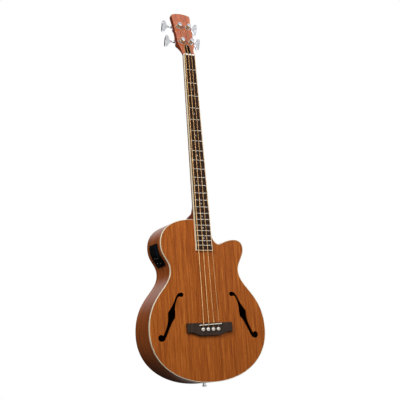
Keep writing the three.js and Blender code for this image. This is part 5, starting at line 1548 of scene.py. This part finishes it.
# Cuts a flat shape across every few millimetres, so that it bends smoothly
def bentPiece(shape):
    rises = [vert.co.z for vert in shape.verts]
    cuts = math.floor((max(rises) - min(rises)) / control["slice"])
    for step in range(1, cuts):
        level = min(rises) + (max(rises) - min(rises)) * step / cuts
        cutAlong(shape, (0, 0, level), (0, 0, 1))
    return bentOntoFlank(shape)


panel = {
    "rise": 0.0, "depth": preamp["depth"],
    "halfLong": preamp["length"] / 2, "halfWide": preamp["width"] / 2,
}
panelFace, window, button = control["face"], control["display"], control["button"]
batteryAt = {**control["battery"], "rise": control["door"]["rise"], "depth": control["door"]["depth"]}
panelShape = paneAbout(panel, (control["back"], panelFace), preamp["corner"])
roundEdges(panelShape, *control["edge"], lastEdges("x", panelFace, 1))
plug = block(*boxAbout(panel, (control["plugBack"], control["back"] + 0.5), -preamp["rim"] - seam))
panelShape = carved(panelShape, [plug], "UNION")
panelShape = carved(panelShape, [
    block(*boxAbout(batteryAt, (-overrun, overrun), seam)),
    block(*boxAbout(window, (window["floor"] - seam, overrun), seam)),
    panelHole(button["rise"], button["depth"], button["radius"] + seam, button["floor"]),
    *[panelHole(*spot, control["shaft"] + seam) for spot in control["knobs"].values()],
])
finishPiece(
    "preamp_panel_moulded", bentPiece(panelShape), bodyPlace, [blackPlastic], ["preamp_panel"],
)

windowShape = paneAbout(window, (window["floor"], panelFace), window["corner"])
roundEdges(windowShape, *window["edge"], lastEdges("x", panelFace, 1))
finishPiece(
    "tuner_window_polished", bentPiece(windowShape), bodyPlace, [displayGlass], ["display_window"],
)

# Door over the battery, with three grooves for a nail at its free edge
door = control["door"]
doorFace = door["out"] + door["thickness"]
doorShape = paneAbout(door, (door["out"], doorFace), door["corner"])
roundEdges(doorShape, *door["edge"], lastEdges("x", doorFace, 1))
grooves = []
for step in range(door["grooves"]):
    level = door["rise"] + door["halfLong"] - door["grooveFromEnd"] - door["groovePitch"] * step
    grooves.append(block(
        (doorFace - door["grooveHalf"], door["depth"] - door["grooveReach"], level - door["grooveHalf"]),
        (overrun, door["depth"] + door["grooveReach"], level + door["grooveHalf"]),
    ))
finishPiece(
    "battery_door_moulded", bentPiece(carved(doorShape, grooves)), bodyPlace, [blackPlastic],
    ["battery_door"], body="battery_door",
)


# Where a small part stands on the flank, its own X pointing out
def onFlank(rise, depth):
    point, up, out = flankAt(preamp["rise"] + rise)
    turn = Matrix((out, Vector((0, -1, 0)), up)).transposed().to_4x4()
    return Matrix.Translation((point.x, depth, point.z)) @ turn


# Battery: a steel can with rounded edges
canHalf = (batteryAt["halfWide"], batteryAt["halfLong"])
canOutline = roundedCorners((-canHalf[0], -canHalf[1]), canHalf, batteryAt["corner"])
can = slab([(-batteryAt["length"], y, z) for y, z in canOutline], (batteryAt["length"], 0, 0))
roundEdges(can, *batteryAt["edge"], leastDegrees=60)
finishPiece(
    "battery_can_pressed", can, bodyPlace @ onFlank(batteryAt["rise"], batteryAt["depth"]), [steel],
    ["battery"],
)

# Knobs: fluted caps with a cream line let into the top, a hair proud
knobTop, knobBase, fluteSteps = control["knobTop"], panelFace + seam, control["flutes"] * 6
for name, spot in control["knobs"].items():
    outline = []
    for step in range(fluteSteps):
        angle = 2 * math.pi * step / fluteSteps
        reach = control["knobRadius"] - control["fluteDepth"] * (1 - math.cos(control["flutes"] * angle))
        outline.append((reach * math.cos(angle), reach * math.sin(angle)))
    cap = slab([(knobBase, y, z) for y, z in outline], (knobTop - knobBase, 0, 0))
    roundEdges(cap, *control["knobEdge"], lastEdges("x", knobTop, 1))
    pointer = inSecondMaterial(block((knobTop - 0.3, -0.4, 0.8), (knobTop + 0.05, 0.4, 4.2)))
    shaft = rod(control["shaft"], control["shaftEnd"], knobBase + 0.5, 24, (0, 0, 0), (1, 0, 0))
    finishPiece(
        f"{name}_fluted", together([cap, pointer, shaft]), bodyPlace @ onFlank(*spot),
        [blackPlastic, creamPlastic], [name], body=name,
    )

radius, top = button["radius"], button["top"]
buttonShape = turned([
    (0, button["low"]), (radius, button["low"]), (radius, top - 0.9), (radius - 0.3, top - 0.35),
    (radius - 1.0, top - 0.05), (0, top),
], 32)
buttonShape.transform(standing((0, 0, 0), (1, 0, 0)))
finishPiece(
    "tuner_button_domed", buttonShape, bodyPlace @ onFlank(button["rise"], button["depth"]), [blackPlastic],
    ["tuner_button"], body="tuner_button",
)

# Screws in the panel's corners
screws = []
screwRise, screwDepth = control["screws"]
for rise in (-screwRise, screwRise):
    for depth in (preamp["depth"] - screwDepth, preamp["depth"] + screwDepth):
        point, up, out = flankAt(preamp["rise"] + rise)
        screw = screwHead(*control["screwSize"])
        screw.transform(standing(Vector((point.x, depth, point.z)) + out * panelFace, out))
        screws.append(screw)
finishPiece("panel_screws", together(screws), bodyPlace, [darkSteel])
print("preamp made")

# Camera: the photograph's place, worked out from the object's own points
view = {
    "pixels": 400, "focal": 884.8, "sensor": 36.0,
    "leanDegrees": -11.956, "turnDegrees": 28.0, "rollDegrees": -4.1243,
    "shift": (26.8157, 377.1659, 2673.8256),
}
cameraAxes = Matrix(((1, 0, 0), (0, 0, -1), (0, 1, 0)))
aim = (
    Matrix.Rotation(math.radians(view["rollDegrees"]), 3, "Z")
    @ cameraAxes
    @ Matrix.Rotation(math.radians(view["leanDegrees"]), 3, "X")
    @ Matrix.Rotation(math.radians(view["turnDegrees"]), 3, "Z")
)
eye = bodyPlace @ (aim.transposed() @ -Vector(view["shift"]))
cameraData = bpy.data.cameras.new("camera")
cameraData.sensor_width = view["sensor"]
cameraData.lens = view["focal"] * view["sensor"] / view["pixels"]
cameraData.clip_end = 100
camera = bpy.data.objects.new("camera", cameraData)
camera.matrix_world = Matrix.Translation(eye) @ Matrix((aim[0], -aim[1], -aim[2])).transposed().to_4x4()
bpy.context.scene.collection.objects.link(camera)
bpy.context.scene.camera = camera

# Plain soft studio: dark paper just under the tail that only the camera and mirrors see as white, a white
# surround and soft lamps
studio = {
    "floorDrop": 0.005,
    "floorSize": 12.0,
    "fadeStart": 0.25,
    "fadeEnd": 0.9,
    "paper": "#4c4c4c",
    "cloth": "#161616",
    "whitening": (0.68, 1.0),
    "mirroredPaper": 0.7,
    "surround": 0.75,
    "clothToward": (-0.537, 0.447, -0.716),
    "clothOnFloor": (-0.2, 0.98, 0.0),
    "clothEdge": (0.05, 0.15),
    "mirrorEdge": (0.0, 0.12),
    "behind": [(0.0, "#ffffff"), (0.5, "#ffffff"), (0.75, "#8c8c8c"), (1.0, "#6c6c6c")],
    "mirroredBehind": [
        (0.0, "#ffffff"), (0.52, "#ffffff"), (0.66, "#4a4a4a"), (0.8, "#202020"), (1.0, "#202020"),
    ],
    "light": [
        (0.0, "#303030"), (0.4, "#b0b0b0"), (0.5, "#ffffff"), (0.6, "#f0f0f0"), (0.72, "#707070"),
        (1.0, "#303030"),
    ],
    "mirrored": [(0.0, "#c8c8c8"), (0.38, "#ececec"), (0.5, "#ffffff"), (1.0, "#f0f0f0")],
    "lamps": [
        {"name": "key", "place": (-1.25, -1.1, 0.75), "size": 1.0, "power": 26.0},
        {"name": "fill", "place": (1.4, -1.8, 0.5), "size": 1.2, "power": 16.0},
    ],
}
floorMesh = bpy.data.meshes.new("floor")
floorShape = bmesh.new()
bmesh.ops.create_grid(floorShape, x_segments=1, y_segments=1, size=studio["floorSize"] / 2)
bmesh.ops.translate(floorShape, verts=floorShape.verts, vec=(0, 0, cadLow.z - studio["floorDrop"]))
floorShape.to_mesh(floorMesh)
floorShape.free()
floor = bpy.data.objects.new("floor", floorMesh)
bpy.context.scene.collection.objects.link(floor)
floor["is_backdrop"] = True
paper, paperTree, paperShader = newMaterial("paper_matt", {"Roughness": 0.9})
# To the camera the paper is nearly white and runs out into the white wall; close by it keeps the shadow
paperRays = addNode(paperTree, "ShaderNodeLightPath", {}, {})
paperPlace = addNode(paperTree, "ShaderNodeTexCoord", {}, {})
flat = addNode(paperTree, "ShaderNodeVectorMath", {"operation": "MULTIPLY"}, {
    0: paperPlace.outputs["Object"], 1: (1.0, 1.0, 0.0),
})
distance = addNode(paperTree, "ShaderNodeVectorMath", {"operation": "LENGTH"}, {0: flat.outputs["Vector"]})
fade = addNode(paperTree, "ShaderNodeMapRange", {"interpolation_type": "SMOOTHSTEP"}, {
    "Value": distance.outputs["Value"], "From Min": studio["fadeStart"], "From Max": studio["fadeEnd"],
    "To Min": studio["whitening"][0], "To Max": studio["whitening"][1],
})
seen = addNode(paperTree, "ShaderNodeMath", {"operation": "MULTIPLY"}, {
    0: fade.outputs["Result"], 1: paperRays.outputs["Is Camera Ray"],
})
# Metal sees white paper too, but not where the cloth lies
underCloth = addNode(paperTree, "ShaderNodeVectorMath", {"operation": "DOT_PRODUCT"}, {
    0: flat.outputs["Vector"], 1: studio["clothOnFloor"],
})
bare = addNode(paperTree, "ShaderNodeMapRange", {}, {
    "Value": underCloth.outputs["Value"],
    "From Min": studio["mirrorEdge"][0], "From Max": studio["mirrorEdge"][1],
    "To Min": studio["mirroredPaper"], "To Max": 0.0,
})
covered = addNode(paperTree, "ShaderNodeMapRange", {}, {
    "Value": underCloth.outputs["Value"],
    "From Min": studio["clothEdge"][0], "From Max": studio["clothEdge"][1],
})
darkened = addNode(paperTree, "ShaderNodeMath", {"operation": "MULTIPLY"}, {
    0: covered.outputs["Result"], 1: paperRays.outputs["Is Glossy Ray"],
})
paperTone = addNode(paperTree, "ShaderNodeMix", {"data_type": "RGBA"}, {
    0: darkened.outputs[0], 6: hexColour(studio["paper"]), 7: hexColour(studio["cloth"]),
})
paperTree.links.new(paperTone.outputs[2], paperShader.inputs["Base Color"])
shiny = addNode(paperTree, "ShaderNodeMath", {"operation": "MULTIPLY_ADD"}, {
    0: bare.outputs["Result"], 1: paperRays.outputs["Is Glossy Ray"], 2: seen.outputs[0],
})
glow = addNode(paperTree, "ShaderNodeEmission", {}, {
    "Color": hexColour("#ffffff"), "Strength": shiny.outputs[0],
})
paperSum = addNode(paperTree, "ShaderNodeAddShader", {}, {0: paperShader.outputs[0], 1: glow.outputs[0]})
paperTree.links.new(paperSum.outputs[0], paperTree.nodes["Material Output"].inputs["Surface"])
floorMesh.materials.append(paper)

world = bpy.data.worlds.new("studio")
bpy.context.scene.world = world
world.use_nodes = True
skyTree = world.node_tree
skyTree.nodes.clear()
rays = addNode(skyTree, "ShaderNodeLightPath", {}, {})
# The room is brightest along the horizon, dim above and below, as a white wall with a dark ceiling. A dark
# cloth hangs low behind the object on its left, so that the sides stay deep in colour
heading = addNode(skyTree, "ShaderNodeTexCoord", {}, {}).outputs["Generated"]
height = addNode(skyTree, "ShaderNodeSeparateXYZ", {}, {"Vector": heading}).outputs["Z"]
toward = addNode(skyTree, "ShaderNodeVectorMath", {"operation": "DOT_PRODUCT"}, {
    0: heading, 1: studio["clothToward"],
}).outputs["Value"]
level, behind = [addNode(skyTree, "ShaderNodeMapRange", {}, {
    "Value": way, "From Min": -1.0, "From Max": 1.0,
}).outputs["Result"] for way in (height, toward)]
rooms = []
for wall, cloth in (("light", "behind"), ("mirrored", "mirroredBehind")):
    wallTone = addNode(skyTree, "ShaderNodeValToRGB", {"stops": studio[wall]}, {"Fac": level})
    clothTone = addNode(skyTree, "ShaderNodeValToRGB", {"stops": studio[cloth]}, {"Fac": behind})
    rooms.append(addNode(skyTree, "ShaderNodeMix", {"data_type": "RGBA", "blend_type": "MULTIPLY"}, {
        0: 1.0, 6: wallTone.outputs["Color"], 7: clothTone.outputs["Color"],
    }).outputs[2])
mirrored = addNode(skyTree, "ShaderNodeMath", {"operation": "MAXIMUM"}, {
    0: rays.outputs["Is Glossy Ray"], 1: rays.outputs["Is Transmission Ray"],
})
# Diffuse rays see the dimmer room, mirrors the brighter one and the camera plain white
softLight, whiteWall, backdrop = [addNode(skyTree, "ShaderNodeBackground", {}, {
    "Color": colour, "Strength": strength,
}) for colour, strength in ((rooms[0], studio["surround"]), (rooms[1], 1.0), (hexColour("#ffffff"), 1.0))]
lit = addNode(skyTree, "ShaderNodeMixShader", {}, {
    0: mirrored.outputs[0], 1: softLight.outputs[0], 2: whiteWall.outputs[0],
})
either = addNode(skyTree, "ShaderNodeMixShader", {}, {
    0: rays.outputs["Is Camera Ray"], 1: lit.outputs[0], 2: backdrop.outputs[0],
})
addNode(skyTree, "ShaderNodeOutputWorld", {}, {"Surface": either.outputs[0]})

middle = (cadLow + cadHigh) / 2
for lamp in studio["lamps"]:
    lampData = bpy.data.lights.new(lamp["name"], "AREA")
    lampData.shape = "DISK"
    lampData.size = lamp["size"]
    lampData.energy = lamp["power"]
    lampObject = bpy.data.objects.new(lamp["name"], lampData)
    lampObject.matrix_world = standing(middle + Vector(lamp["place"]), lamp["place"])
    bpy.context.scene.collection.objects.link(lampObject)
bpy.context.scene.view_settings.view_transform = "Standard"
print("studio set")

low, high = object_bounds()
